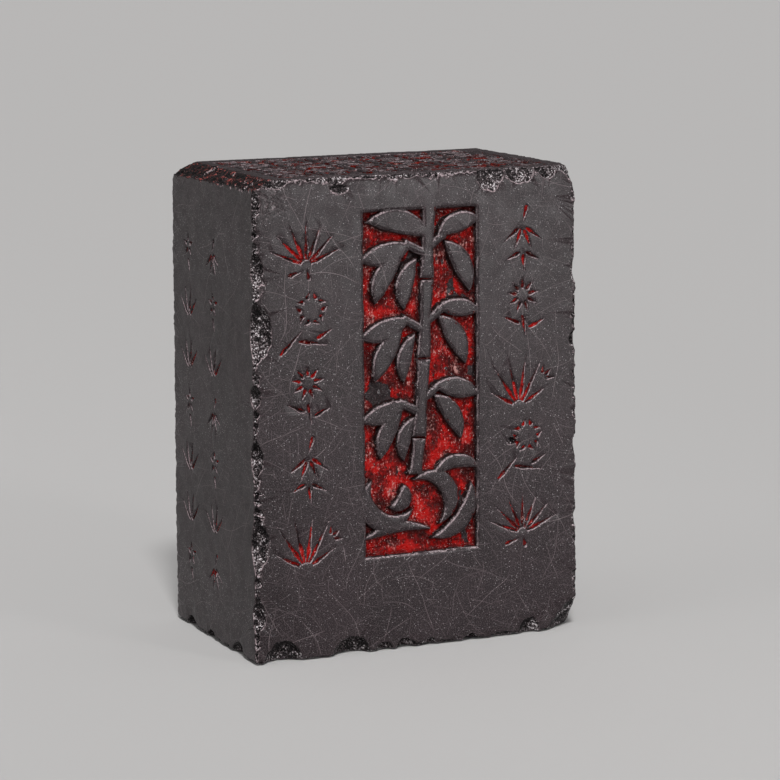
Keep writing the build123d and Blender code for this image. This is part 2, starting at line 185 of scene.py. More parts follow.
class SealCarvingSettings(bpy.types.PropertyGroup):
    """The panel, the knife-cut columns and the printing face"""

    panel_width: length("Panel width", "Width of the sunk panel", 0.0173)
    panel_height: length("Panel height", "Height of the sunk panel", 0.0485)
    panel_base: length("Panel foot", "Height of the panel's lower edge", 0.01345)
    panel_shift: length("Panel shift", "How far the panel lies right of the middle", 0.00035)
    panel_sink: length("Panel sink", "Depth of the panel's ground", 0.0011)
    wall: length("Wall", "Width that the sloping walls of the carving take", 0.00042)
    stem_width: length("Stem width", "Width of the relief's stem", 0.0021)
    stroke_width: length("Cut width", "Widest part of a knife cut on the front", 0.0007)
    stroke_depth: length("Cut depth", "Depth of the knife cuts", 0.0004)
    front_motif: length("Front motif", "Height of a motif on the front", 0.0087)
    front_pitch: length("Front pitch", "Distance between motifs on the front", 0.0101)
    front_foot: length("Front foot", "Height of the lowest motif's foot on the front", 0.0126)
    left_inset: length("Left inset", "Left column's middle from the left edge", 0.0082)
    right_inset: length("Right inset", "Right column's middle from the right edge", 0.0088)
    side_motif: length("Side motif", "Height of a motif on the side", 0.0056)
    side_pitch: length("Side pitch", "Distance between motifs on the side", 0.0075)
    side_foot: length("Side foot", "Height of the lowest motif's foot on the side", 0.007)
    side_front_place: length("Side column, front", "Front column's distance from the middle", 0.0003)
    side_back_place: length("Side column, back", "Back column's distance from the middle", -0.0092)
    side_count: IntProperty(name="Side motifs", description="Motifs in each column on the side", default=7)
    seal_side_margin: length("Left margin", "Margin beside the worn slope", 0.0039)
    seal_margin: length("Margin", "Margin round the printing face", 0.0015)
    border_width: length("Border", "Width of the raised border", 0.0013)
    seal_sink: length("Seal sink", "Depth of the printing face's ground", 0.0009)
    fret_line: length("Fret line", "Width of a raised line of the fret", 0.0008)


class SealPigmentSettings(bpy.types.PropertyGroup):
    """The red in the carving"""

    panel_film: length("Panel film", "Usual thickness of the red on the panel's ground", 0.00016)
    column_film: length("Column film", "Usual thickness of the red in the knife cuts", 0.0001)
    paste_film: length("Paste film", "Usual thickness of the paste on the printing face", 0.00016)
    cinnabar: tint("Cinnabar", "Fresh red pigment", (0.37, 0.003, 0.002))
    old_cinnabar: tint("Old cinnabar", "Dark, dirty red pigment", (0.12, 0.001, 0.001))
    rubbed_cinnabar: tint("Rubbed cinnabar", "Pigment rubbed thin and dusty", (0.46, 0.24, 0.22))
    paste: tint("Seal paste", "Dried seal paste", (0.42, 0.017, 0.004))


class SealStageSettings(bpy.types.PropertyGroup):
    """The floor, the lights and the camera"""

    floor_colour: tint("Floor", "Pale floor and backdrop", (0.54, 0.53, 0.525))
    top_strength: FloatProperty(name="Top light", description="Strength of the soft light above the front",
                                default=2.5)
    front_power: FloatProperty(name="Front light", description="Power of the soft light right of the front",
                               default=0.052, unit="POWER", precision=4)
    side_power: FloatProperty(name="Side light", description="Power of the soft light behind the left side",
                              default=0.3, unit="POWER")
    fill: FloatProperty(name="Fill", description="Strength of the light from all round", default=0.24)


def block_settings():
    return bpy.context.scene.seal_block


def carving_settings():
    return bpy.context.scene.seal_carving


def pigment_settings():
    return bpy.context.scene.seal_pigment


def grid_spacing():
    """Distance between carved points in millimetres."""
    fine = block_settings().spacing * TO_MM
    return fine


# Noise over points in millimetres
NOISE_SIDE = 48
SEED_STEP = 7.31
noise_tables = {}


def noise_table(seed):
    if seed not in noise_tables:
        shape = (NOISE_SIDE, NOISE_SIDE, NOISE_SIDE)
        noise_tables[seed] = np.random.default_rng(seed).uniform(-1, 1, shape).astype(np.float32)
    return noise_tables[seed]


def with_third(points):
    """Points with three coordinates, where flat ones get a zero."""
    return points if points.shape[1] == 3 else np.column_stack([points, np.zeros(len(points))])


def smooth_noise(points, size, seed):
    """Smooth noise from -1 to 1 with features of about this size."""
    table = noise_table(seed)
    scaled = with_third(points) / size + seed * SEED_STEP
    cell = np.floor(scaled).astype(np.int64)
    part = (scaled - cell).astype(np.float32)
    part = part * part * (3 - 2 * part)
    low, high = cell % NOISE_SIDE, (cell + 1) % NOISE_SIDE
    total = np.zeros(len(points), np.float32)
    for corner in range(8):
        picks = [(high if corner >> axis & 1 else low)[:, axis] for axis in range(3)]
        weight = np.ones(len(points), np.float32)
        for axis in range(3):
            weight *= part[:, axis] if corner >> axis & 1 else 1 - part[:, axis]
        total += weight * table[picks[0], picks[1], picks[2]]
    return total


def rough_noise(points, size, seed, layers=3):
    """Noise with finer noise on top, from about -1 to 1."""
    total = np.zeros(len(points), np.float32)
    strength = 1.0
    for layer in range(layers):
        total += strength * smooth_noise(points, size / 2**layer, seed + layer)
        strength *= 0.55
    return total / 1.6


def crumbled(points, size, seed):
    """Distance to the nearest of scattered points, from 0 to about 1, and that point's own value from -1 to 1."""
    table = noise_table(seed)
    scaled = with_third(points) / size
    cell = np.floor(scaled).astype(np.int64)
    nearest, shade = np.full(len(points), 9.0, np.float32), np.zeros(len(points), np.float32)
    axes = points.shape[1]
    for step in np.ndindex(*(3,) * axes):
        place = cell + np.pad(np.array(step) - 1, (0, 3 - axes))
        x, y, z = (place % NOISE_SIDE).T
        jitter = np.column_stack([table[x, y, z], table[y, z, x], table[z, x, y]])
        away = (scaled - place - 0.5 - 0.42 * jitter)[:, :axes]
        square = (away**2).sum(1)
        closer = square < nearest
        nearest[closer] = square[closer]
        shade[closer] = table[z, y, x][closer]
    return np.sqrt(nearest), shade


def ease(value, low, high):
    """0 below low, 1 above high and smooth in between."""
    share = np.clip((value - low) / (high - low), 0, 1)
    return share * share * (3 - 2 * share)


# Outlines of the carving, in millimetres on the face that they are cut into
def bowed_side(base, tip, bow_share, steps=14):
    """Points along an arc from base to tip that bows to the left by a share of their distance."""
    run = tip - base
    half = np.hypot(*run) / 2
    left = np.array([-run[1], run[0]]) / (2 * half)
    sag = bow_share * 2 * half
    turn = 2 * math.atan(sag / half)
    angles = np.linspace(-turn, turn, steps)
    along = np.sin(angles) / math.sin(turn)
    off = (np.cos(angles) - math.cos(turn)) / (1 - math.cos(turn)) * sag
    return (base + tip) / 2 + np.outer(along, run / 2) + np.outer(off, left)


def beside(base, tip, distance):
    """An offset to the left of the line from base to tip."""
    run = (tip - base) / np.hypot(*(tip - base))
    return np.array([-run[1], run[0]]) * distance


def panel_box():
    """Lower left corner and size of the sunk panel."""
    carving = carving_settings()
    size = np.array([carving.panel_width, carving.panel_height]) * TO_MM
    return np.array([carving.panel_shift - carving.panel_width / 2, carving.panel_base]) * TO_MM, size


def relief_outlines():
    """Outlines of the strokes that stand in the panel, from its lower left corner."""
    _, size = panel_box()
    stem = carving_settings().stem_width * TO_MM
    outlines = []
    for base_x, base_z, tip_x, tip_z, left_bow, right_bow in LEAF_SHARES + CLOUD_SHARES:
        base, tip = size * (base_x, base_z), size * (tip_x, tip_z)
        outlines.append(np.vstack([bowed_side(base, tip, left_bow), bowed_side(base, tip, right_bow)[-2:0:-1]]))
    for base_x, base_z, tip_x, tip_z in TWIG_SHARES:
        base, tip = size * (base_x, base_z), size * (tip_x, tip_z)
        side = beside(base, tip, stem / 4)
        outlines.append(np.array([base + side, base - side, tip - side, tip + side]))
    for upper_share, lower_share in zip(STEM_JOINT_SHARES, STEM_JOINT_SHARES[1:]):
        upper, joint = size * upper_share, size * lower_share
        lower = joint + (upper - joint) / np.hypot(*(upper - joint)) * STEM_GAP
        sag = 0.1 * stem / np.hypot(*(upper - lower))
        side = beside(upper, lower, stem / 2)
        outlines.append(np.vstack([bowed_side(upper + side, lower + side, -sag),
                                   bowed_side(lower - side, upper - side, -sag)]))
    return outlines


def ray_strokes(centre, inner, outer, angles):
    """Strokes that leave a centre at the given angles from straight up."""
    strokes = []
    for angle in angles:
        along = np.array([math.sin(math.radians(angle)), math.cos(math.radians(angle))])
        strokes.append((*(centre + inner * along), *(centre + outer * along)))
    return strokes


def petal_strokes(centre, radius, petals):
    """Two strokes for each petal, from its shoulders towards its tip."""
    strokes = []
    for petal in range(petals):
        middle = 2 * math.pi * petal / petals
        for side in (-1, 1):
            ends = ((middle + side * 0.48, 0.6 * radius), (middle + side * 0.1, radius))
            strokes.append([spot for angle, away in ends
                            for spot in (centre[0] + away * math.sin(angle), centre[1] + away * math.cos(angle))])
    return strokes


FRONT_MOTIFS = [
    ray_strokes((0.0, -0.26), 0.08, 0.72, (-68, -46, -24, 0, 22, 45, 67))
    + [(0.05, -0.50, 0.01, -0.30), (-0.32, -0.42, -0.05, -0.34)],
    petal_strokes((0.08, 0.20), 0.29, 5)
    + [(-0.46, -0.50, -0.06, -0.10), (-0.15, -0.29, 0.40, -0.38), (0.16, -0.27, 0.44, -0.12)],
    ray_strokes((0.0, 0.18), 0.07, 0.44, (-128, -160, 158, 126))
    + ray_strokes((0.0, -0.24), 0.06, 0.36, (-115, 175, 117)) + [(0.08, 0.50, 0.0, 0.22)],
    ray_strokes((-0.06, -0.48), 0.10, 0.92, (-34, -14, 8, 28)) + ray_strokes((-0.06, -0.48), 0.12, 0.62, (-62, 58))
    + ray_strokes((0.36, -0.02), 0.06, 0.22, (5, 50, 95)),
    ray_strokes((0.0, 0.20), 0.10, 0.30, [40 * ray for ray in range(9)])
    + [(0.0, -0.13, 0.06, -0.50), (-0.05, -0.26, -0.38, -0.12), (0.11, -0.34, 0.42, -0.20)],
]
SIDE_MOTIFS = [
    ray_strokes((0.0, -0.34), 0.10, 0.80, (-50, -18, 14, 46)),
    ray_strokes((0.0, 0.14), 0.08, 0.56, (-130, -165, 160, 124)) + [(0.12, 0.50, 0.02, 0.20)],
    ray_strokes((0.0, 0.18), 0.10, 0.32, (0, 72, 144, 216, 288)) + [(0.0, -0.18, 0.08, -0.50)],
]


def column_outlines(motifs, order, place, foot, pitch, size, width):
    """Outlines of the knife cuts of one column, which are widest near their heads."""
    outlines = []
    for step, which in enumerate(order):
        centre = np.array([place, foot + size / 2 + step * pitch])
        for head_x, head_y, tail_x, tail_y in motifs[which]:
            head = centre + size * np.array([head_x, head_y])
            tail = centre + size * np.array([tail_x, tail_y])
            shoulder = head + (tail - head) * CUT_SHOULDER
            side = beside(head, tail, width / 2)
            blunt = beside(head, tail, width * CUT_HEAD)
            outlines.append(np.array([head + blunt, shoulder + side, tail, shoulder - side, head - blunt]))
    return outlines


def front_columns():
    """Knife cuts of the front, by the filling that lies in them."""
    carving, edge = carving_settings(), block_settings().width / 2
    shared = [v * TO_MM for v in (carving.front_foot, carving.front_pitch, carving.front_motif, carving.stroke_width)]
    columns = {"left_column_pigment": (LEFT_ORDER, carving.left_inset - edge),
               "right_column_pigment": (RIGHT_ORDER, edge - carving.right_inset)}
    return {node: column_outlines(FRONT_MOTIFS, order, place * TO_MM, *shared)
            for node, (order, place) in columns.items()}


def side_columns():
    """Knife cuts of the side, on a plane whose first axis runs from the back to the front."""
    carving = carving_settings()
    width = SIDE_CUT_SHARE * carving.stroke_width
    shared = [v * TO_MM for v in (carving.side_foot, carving.side_pitch, carving.side_motif, width)]
    steps = range(carving.side_count)
    columns = {"side_front_column_pigment": ([2 * step + 1 for step in steps], carving.side_front_place),
               "side_back_column_pigment": ([step * step + 2 for step in steps], carving.side_back_place)}
    return {node: column_outlines(SIDE_MOTIFS, [which % len(SIDE_MOTIFS) for which in order], place * TO_MM, *shared)
            for node, (order, place) in columns.items()}


def outline_distance(points, outlines, reach):
    """Distance to the nearest outline, negative inside one, and at most reach."""
    distance = np.full(len(points), reach)
    for corners in outlines:
        low, high = corners.min(0) - reach, corners.max(0) + reach
        near = np.flatnonzero(((points > low) & (points < high)).all(1))
        if not len(near):
            continue
        close = points[near]
        nearest = np.full(len(near), np.inf)
        inside = np.zeros(len(near), bool)
        for start, end in zip(corners, np.roll(corners, -1, axis=0)):
            run = end - start
            away = close - start
            share = np.clip(away @ run / (run @ run), 0, 1)
            nearest = np.minimum(nearest, ((away - share[:, None] * run) ** 2).sum(1))
            if start[1] != end[1]:
                crosses = (start[1] > close[:, 1]) != (end[1] > close[:, 1])
                inside ^= crosses & (away[:, 0] < run[0] * away[:, 1] / run[1])
        distance[near] = np.minimum(distance[near], np.where(inside, -1, 1) * np.sqrt(nearest))
    return distance


def wobble(points, amount, size, seed):
    """The points moved about a little, for edges that were cut by hand."""
    moved = [smooth_noise(points, size, seed + axis) for axis in range(points.shape[1])]
    return points + amount * np.column_stack(moved)


def sloped(distance, wall):
    """Share of the full depth at a distance inside the rim: steep at first, then easing into the ground."""
    share = np.clip(distance / wall, 0, 1)
    return 1 - (1 - share) ** 1.7


def panel_distance(points):
    """Distance on the front from what stands in or round the panel, and negative on it."""
    corner, size = panel_box()
    local = wobble(points, 0.07, 1.6, 3) - corner
    border = np.minimum(local, size - local).min(1)
    distance = np.full(len(points), -1.5)
    near = np.flatnonzero(border > -1)
    standing = outline_distance(local[near], relief_outlines(), 1.5)
    distance[near] = np.minimum(border[near], standing)
    nicks = np.maximum(rough_noise(points, 0.7, 11, 2) - 0.30, 0)
    return distance + 0.03 * smooth_noise(points, 0.45, 5) + 0.42 * nicks


def cut_distance(points, columns, seed):
    """Distance inside the knife cuts, and negative outside them."""
    outlines = [corners for cuts in columns.values() for corners in cuts]
    inside = -outline_distance(wobble(points, 0.05, 0.5, seed), outlines, 0.6)
    return inside + 0.05 * rough_noise(points, 0.35, seed + 4, 2)


def front_depth(points):
    """Depth of the carving on the front at points (x, z)."""
    carving = carving_settings()
    distance = panel_distance(points)
    slant = points @ np.array([[0.82, 0.35], [-0.57, 0.94]])
    dishes = crumbled(slant * (1, 0.55), 1.15, 21)[0]
    streaks = rough_noise(points * (1.0, 0.4), 0.55, 25, 2)
    ground = carving.panel_sink * TO_MM - ease(distance, 0.1, 0.5) * (0.24 * (dishes - 0.4) + 0.08 * streaks)
    rounded = (0.15 + 0.05 * smooth_noise(points, 1.6, 27)) * ease(distance, -0.42, 0.05)
    depth = rounded + (ground - rounded) * sloped(distance, carving.wall * TO_MM)
    cuts = cut_distance(points, front_columns(), 31)
    return np.maximum(depth, cut_depth(cuts, carving.stroke_width * TO_MM))


def cut_depth(inside, width):
    """Depth of a knife cut, with a lip that is a little rubbed."""
    lip = 0.035 * ease(inside, -0.12, 0.02)
    return lip + (carving_settings().stroke_depth * TO_MM - lip) * sloped(inside, width * 0.42)


def side_depth(points):
    """Depth of the carving on the left side at points (-y, z)."""
    width = SIDE_CUT_SHARE * carving_settings().stroke_width
    return cut_depth(cut_distance(points, side_columns(), 41) + 0.03, width * TO_MM)


def fret_box():
    """Lowest and highest corner of the fret inside the border of the printing face."""
    carving, block = carving_settings(), block_settings()
    top, deep = (block.width / 2 - block.side_lean) * TO_MM, block.depth / 2 * TO_MM
    margin, side_margin = carving.seal_margin * TO_MM, carving.seal_side_margin * TO_MM
    border = carving.border_width * TO_MM
    return np.array([-top + side_margin, -deep + margin]) + border, np.array([top - margin, deep - margin]) - border


def fret_distance(points):
    """Distance on the printing face from its raised lines and border, and negative on them."""
    low, high = fret_box()
    moved = wobble(points, 0.10, 1.4, 51)
    edge = np.minimum.reduce([moved - low, high - moved]).min(1)
    cell = (high - low) / FRET_CELLS
    step = cell / 4
    place = (moved - low) / cell
    which = np.clip(np.floor(place), 0, np.subtract(FRET_CELLS, 1))
    local = (place - which - 0.5) * cell
    turned = np.where(which.sum(1) % 2, -1.0, 1.0)
    line = np.full(len(points), 9.0)
    half_line = carving_settings().fret_line * TO_MM / 2
    ways = np.column_stack([turned, np.ones(len(points))])
    for start, end in zip(np.array(SPIRAL_TURN_SHARES), SPIRAL_TURN_SHARES[1:]):
        middle = ways * (start + end) / 2 * step
        away = np.abs(local - middle) - (np.abs(end - start) / 2 * step + half_line)
        outside = np.hypot(*np.maximum(away, 0).T)
        line = np.minimum(line, outside + np.minimum(away.max(1), 0))
    nicks = np.maximum(rough_noise(points, 0.9, 55, 2) - 0.22, 0)
    return np.minimum(line, edge) + 0.5 * nicks


def top_depth(points):
    """Depth of the carving on the printing face at points (x, y)."""
    carving = carving_settings()
    distance = fret_distance(points)
    ground = carving.seal_sink * TO_MM - 0.10 * (crumbled(points, 0.8, 61)[0] - 0.4)
    depth = ground * sloped(distance, 0.30)
    rubbing_and_highlight = 0.10 * ease(rough_noise(points, 3.5, 71), 0.0, 0.8) + 0.06 * ease(rough_noise(points, 0.6, 75), 0.1, 0.8)
    return np.maximum(depth, rubbing_and_highlight * ease(distance, -1.2, -0.1) + 0.05 * ease(distance, -0.25, 0.0))


# The faces that are carved, and what gives the depth of the carving on each
DEPTHS = {"front": front_depth, "left": side_depth, "top": top_depth}

# The block: every surface point is a point of a smaller box inside it, plus a reach along its own direction
CORE_INSET = 4.0
RIM_PAST_CORE = 2.6
EDGE_SPAN, FRONT_SPAN = 7.0, 45.0
ARRIS_REACH, LEAST_ARRIS, RAGGED_REACH = 1.5, 0.12, 0.4
CRUMB_SIZE, CRUMB_SEED = 0.75, 121
# Faces: the axis that each looks along, its side on that axis and the two axes that it lies in
FACES = {
    "front": (1, -1, (0, 2)),
    "left": (0, -1, (1, 2)),
    "top": (2, 1, (0, 1)),
    "back": (1, 1, (0, 2)),
    "right": (0, 1, (1, 2)),
    "bottom": (2, -1, (0, 1)),
}
UV_CORNERS = {"front": (0, 0), "back": (52, 0), "left": (104, 0), "right": (0, 69), "top": (34, 69),
              "bottom": (34, 103)}
UV_SPAN = 140.0
SHARP_ANGLE = math.radians(42)


def half_sizes():
    block = block_settings()
    return np.array([block.width / 2, block.depth / 2, block.height / 2]) * TO_MM


def face_plane(name):
    """Outward normal and offset of one side of the block."""
    (axis, sign, _), block, half = FACES[name], block_settings(), half_sizes()
    if axis == 0:
        normal = np.array([sign * block.height, 0, block.side_lean])
        normal /= np.hypot(block.height, block.side_lean)
        return normal, half[0] * abs(normal[0])
    normal = np.zeros(3)
    normal[axis] = sign
    offset = half[1] if axis == 1 else (2 * half[2] if sign > 0 else 0.0)
    return normal, offset


def grid_lines(low, high, spacing):
    """Core coordinate and lean of the direction for each grid line along one axis."""
    fans = max(4, round(CORE_INSET / spacing))
    cores = max(4, round((high - low - 2 * CORE_INSET) / spacing))
    core = np.linspace(low + CORE_INSET, high - CORE_INSET, cores + 1)
    fan = np.arange(1, fans + 1) / fans
    places = np.concatenate([np.full(fans, core[0]), core, np.full(fans, core[-1])])
    leans = np.concatenate([-fan[::-1], np.zeros(cores + 1), fan])
    return places, leans


def surface_lattice(spacing):
    """Keys of the surface points and the faces between them: whole grids where carved, rims elsewhere."""
    half = half_sizes()
    lines = [grid_lines(-half[0], half[0], spacing), grid_lines(-half[1], half[1], spacing),
             grid_lines(0.0, 2 * half[2], spacing)]
    counts = [len(places) for places, _ in lines]
    rim = round((CORE_INSET + RIM_PAST_CORE) / spacing)
    quads, big_faces = [], []
    for name, (axis, sign, (one, two)) in FACES.items():
        cells_one, cells_two = np.meshgrid(np.arange(counts[one] - 1), np.arange(counts[two] - 1), indexing="ij")
        flip = (sign > 0) == (axis == 1)
        if name not in DEPTHS:
            rows = (cells_one < rim) | (cells_one >= counts[one] - 1 - rim)
            rows |= (cells_two < rim) | (cells_two >= counts[two] - 1 - rim)
            cells_one, cells_two = cells_one[rows], cells_two[rows]
            loop = inner_loop(rim, counts[one] - 1 - rim, counts[two] - 1 - rim)
            big_faces.append(lattice_keys(loop[::-1] if flip else loop, axis, sign, one, two, counts))
        corners = [np.column_stack([cells_one.ravel() + a, cells_two.ravel() + b])
                   for a, b in ((0, 0), (1, 0), (1, 1), (0, 1))]
        keys = np.column_stack([lattice_keys(c, axis, sign, one, two, counts) for c in corners])
        quads.append(keys[:, ::-1] if flip else keys)
    return lines, counts, np.vstack(quads), big_faces


def inner_loop(low, high_one, high_two):
    """Grid places round the inside of a rim, anticlockwise."""
    across, up = np.arange(low, high_one), np.arange(low, high_two)
    sides = [np.column_stack([across, np.full(len(across), low)]),
             np.column_stack([np.full(len(up), high_one), up]),
             np.column_stack([across[::-1] + 1, np.full(len(across), high_two)]),
             np.column_stack([np.full(len(up), low), up[::-1] + 1])]
    return np.vstack(sides)


def lattice_keys(places, axis, sign, one, two, counts):
    index = [None, None, None]
    index[axis] = np.full(len(places), counts[axis] - 1 if sign > 0 else 0)
    index[one], index[two] = places[:, 0], places[:, 1]
    return index[0] + counts[0] * (index[1] + counts[1] * index[2])


def block_corner(side, face, level):
    """The corner at the left or right (-1 or 1), the front or back (-1 or 1) and the foot or top (0 or 1)."""
    half = half_sizes()
    across = half[0] - level * block_settings().side_lean * TO_MM
    return np.array([side * across, face * half[1], level * 2 * half[2]])


def outward(face):
    """The way that a face looks, without its lean."""
    axis, sign, _ = FACES[face]
    way = np.zeros(3)
    way[axis] = sign
    return way


def edge_table():
    """The edges with their ends as points and their two faces as directions."""
    for start, end, face_one, face_two, *wear in EDGES:
        yield block_corner(*start), block_corner(*end), outward(face_one), outward(face_two), *wear


# A hollow is an ellipsoid over the chord between its two legs. Its centre and its radius are so many times as far
# from the chord as the edge is, and it has these shares of its full size at the edge and along the chord
SCOOP_CENTRE, SCOOP_RADIUS = 2.7, 3
SCOOP_EDGE_SHARE, SCOOP_STRETCH = 0.824, 2.29


def scoop(point, along, out_one, out_two, width, leg_one, leg_two):
    """Centre, axes and radii of a hollow broken out of an edge, with these legs on its two faces."""
    chord = math.hypot(leg_one, leg_two)
    slope = (out_one * leg_one + out_two * leg_two) / chord
    across = np.cross(along, slope)
    bite = leg_one * leg_two / chord
    middle = point - (out_two * leg_one + out_one * leg_two) / 2
    radii = np.array([width / 2 / SCOOP_EDGE_SHARE, SCOOP_STRETCH * chord / 2, SCOOP_RADIUS * bite])
    return middle + slope * SCOOP_CENTRE * bite, np.column_stack([along, across, slope]), radii


def edge_scoops():
    """For each edge, its large chips and the small ones scattered along it."""
    chip_size = block_settings().chip_size * TO_MM
    chance = np.random.default_rng(7)
    for start, end, out_one, out_two, chips, crumbs, widths, band, other in edge_table():
        run = end - start
        along = run / np.linalg.norm(run)
        scoops = []
        for place, width, leg_one, leg_two in chips:
            legs = (leg_one * chip_size, leg_two * chip_size)
            scoops.append(scoop(start + run * place, along, out_one, out_two, width * chip_size, *legs))
        for _ in range(crumbs):
            place = chance.uniform(0.005, 0.995)
            reach = np.interp(place, *band) if isinstance(band, tuple) else band
            width = widths[0] + (widths[1] - widths[0]) * chance.random() ** 2
            legs = [leg * (0.18 + 0.82 * chance.random() ** 1.8) for leg in (reach, other)]
            tilt = along + 0.35 * chance.normal(size=3)
            centre, axes, radii = scoop(start + run * place, along, out_one, out_two, width, *legs)
            first = tilt - axes[:, 2] * (tilt @ axes[:, 2])
            first /= np.linalg.norm(first)
            scoops.append((centre, np.column_stack([first, np.cross(axes[:, 2], first), axes[:, 2]]), radii))
        yield start, end, scoops


def front_pits():
    """A line across the front, and the hollows of the front that lie on their own."""
    front = -half_sizes()[1]
    pits = [(np.array([x, front - ahead, z]), np.eye(3), np.array(radii)) for (x, ahead, z), radii in FRONT_PITS]
    return np.array([-24.0, front, 60.0]), np.array([24.0, front, 60.0]), pits


def hollow_out(reach, core, out, places, start, end, scoops, span):
    """Shortens the reach of the points within this span of an edge to the first hollow that they cross."""
    along = (end - start) / np.linalg.norm(end - start)
    away = places - start
    steps = away @ along
    near = np.flatnonzero((away**2).sum(1) - steps**2 < span**2)
    near = near[np.argsort(steps[near])]
    steps = steps[near]
    for centre, axes, radii in scoops:
        middle, size = (centre - start) @ along, radii.max() + RAGGED_REACH
        low, high = np.searchsorted(steps, (middle - size, middle + size))
        part = near[low:high]
        begin = (core[part] - centre) @ axes / radii
        run = out[part] @ axes / radii
        square, slope = (run**2).sum(1), (begin * run).sum(1)
        under = slope**2 - square * ((begin**2).sum(1) - 1)
        first = (-slope - np.sqrt(np.maximum(under, 0))) / square
        hit = (under > 0) & (first > 0)
        reach[part[hit]] = np.minimum(reach[part[hit]], first[hit])


def cut_plane(reach, core, out, normal, offset):
    """Shortens the reach of each point to a plane."""
    facing = out @ normal
    distance = offset - core @ normal
    ahead = facing > 1e-6
    reach[ahead] = np.minimum(reach[ahead], (distance[ahead] if np.ndim(distance) else distance) / facing[ahead])


def worn_slope():
    """Normal and offset of the worn slope between the top and the left side."""
    block = block_settings()
    low_point = block_corner(-1, -1, 1) - (0, 0, block.worn_side_drop * TO_MM)
    front_point = block_corner(-1, -1, 1) + (block.worn_front_leg * TO_MM, 0, 0)
    back_point = block_corner(-1, 1, 1) + (block.worn_back_leg * TO_MM, 0, 0)
    slope = np.cross(front_point - low_point, back_point - low_point)
    slope *= -np.sign(slope[0]) / np.linalg.norm(slope)
    return slope, low_point @ slope


def break_arrises(reach, core, out, places, worn):
    """Cuts a narrow flat of this width, in millimetres, along every edge."""
    for start, end, out_one, out_two, *_ in edge_table():
        normal, run = (out_one + out_two) / math.sqrt(2), end - start
        low, high = np.minimum(start, end) - ARRIS_REACH, np.maximum(start, end) + ARRIS_REACH
        near = np.flatnonzero(((places > low) & (places < high)).all(1))
        part = reach[near]
        share = ((places[near] - start) @ run) / (run @ run)
        cut_plane(part, core[near], out[near], normal,
                  start @ normal - np.maximum(worn[near], LEAST_ARRIS) / math.sqrt(2) + share * (run @ normal))
        reach[near] = part


def block_surface(core, out):
    """Where each direction leaves the worn and chipped block."""
    reach = np.full(len(core), 99.0)
    for name in FACES:
        cut_plane(reach, core, out, *face_plane(name))
    places = core + out * reach[:, None]
    whole = places.copy()
    ragged = wobble(places, 0.16, 0.8, 81) - places + 0.4 * (wobble(places, 0.16, 0.3, 85) - places)
    core = core + ragged
    edge_break = block_settings().edge_break * TO_MM
    break_arrises(reach, core, out, places,
                  edge_break * (0.8 + 0.5 * rough_noise(places, 4.5, 91, 2) + 0.35 * smooth_noise(places, 0.35, 95)))
    slope, level = worn_slope()
    swell = 0.16 * rough_noise(places, 1.6, 101) - 0.08
    cut_plane(reach, core, out, slope, level + swell)
    for corner, way, depth, raggedness in CORNER_BREAKS:
        way = np.array(way) / np.linalg.norm(way)
        level = block_corner(*corner) @ way - depth
        if raggedness:
            level = level + raggedness * rough_noise(places, 1.1, 107)
        cut_plane(reach, core, out, way, level)
    split = np.divide((1, -1, -1), SPLIT_LEGS)
    split /= np.linalg.norm(split)
    cut_plane(reach, core, out, split, (block_corner(1, -1, 0) - (SPLIT_LEGS[0], 0, 0)) @ split
              + 0.28 * rough_noise(places, 2.6, 111) - 0.1)
    left_top = block_corner(-1, -1, 1)
    scuffed = 1 - ease(np.hypot(places[:, 0] - left_top[0], places[:, 2] - left_top[2]), 3.5, 8.5)
    scuffed *= -out[:, 1] >= np.abs(out).max(1) - 1e-6
    reach -= 0.10 * scuffed * np.maximum(rough_noise(places, 0.35, 105) + 0.25 * scuffed, 0)
    for start, end, scoops in edge_scoops():
        hollow_out(reach, core, out, places, start, end, scoops, EDGE_SPAN)
    hollow_out(reach, core, out, places, *front_pits(), FRONT_SPAN)
    surface = core - ragged + out * reach[:, None]
    lost = np.linalg.norm(whole - surface, axis=1)
    broken = np.flatnonzero(lost > 0.02)
    spots = surface[broken]
    grit = 0.16 * (1 - crumbled(spots, CRUMB_SIZE, CRUMB_SEED)[0]) + 0.09 * rough_noise(spots, 0.32, 131)
    strength = ease(lost[broken], 0.02, 0.5)
    surface[broken] -= out[broken] * (np.maximum(grit, 0) * strength)[:, None]
    return surface


def face_of(core_offset):
    """Index of the face that each direction from the core belongs to, in the order of FACES."""
    scores = np.column_stack([sign * core_offset[:, axis] for axis, sign, _ in FACES.values()])
    return scores.argmax(1)


def face_points(points, name):
    """Coordinates of points on one carved face, as its depth function wants them."""
    if name == "front":
        return points[:, [0, 2]]
    if name == "left":
        return np.column_stack([-points[:, 1], points[:, 2]])
    return points[:, :2]




def carve(points, faces):
    """Sinks the points of the carved faces to the depth of the carving there."""
    for name in DEPTHS:
        on_face = np.flatnonzero(faces == list(FACES).index(name))
        normal, offset = face_plane(name)
        sunk = offset - points[on_face] @ normal
        depth = DEPTHS[name](face_points(points[on_face], name))
        points[on_face] -= np.outer(np.maximum(depth - sunk, 0), normal)
    return points


def from_core(points):
    """Offset of each point from the nearest point of the core."""
    half = half_sizes()
    low = np.array([-half[0], -half[1], 0]) + CORE_INSET
    high = np.array([half[0], half[1], 2 * half[2]]) - CORE_INSET
    return points - np.clip(points, low, high)


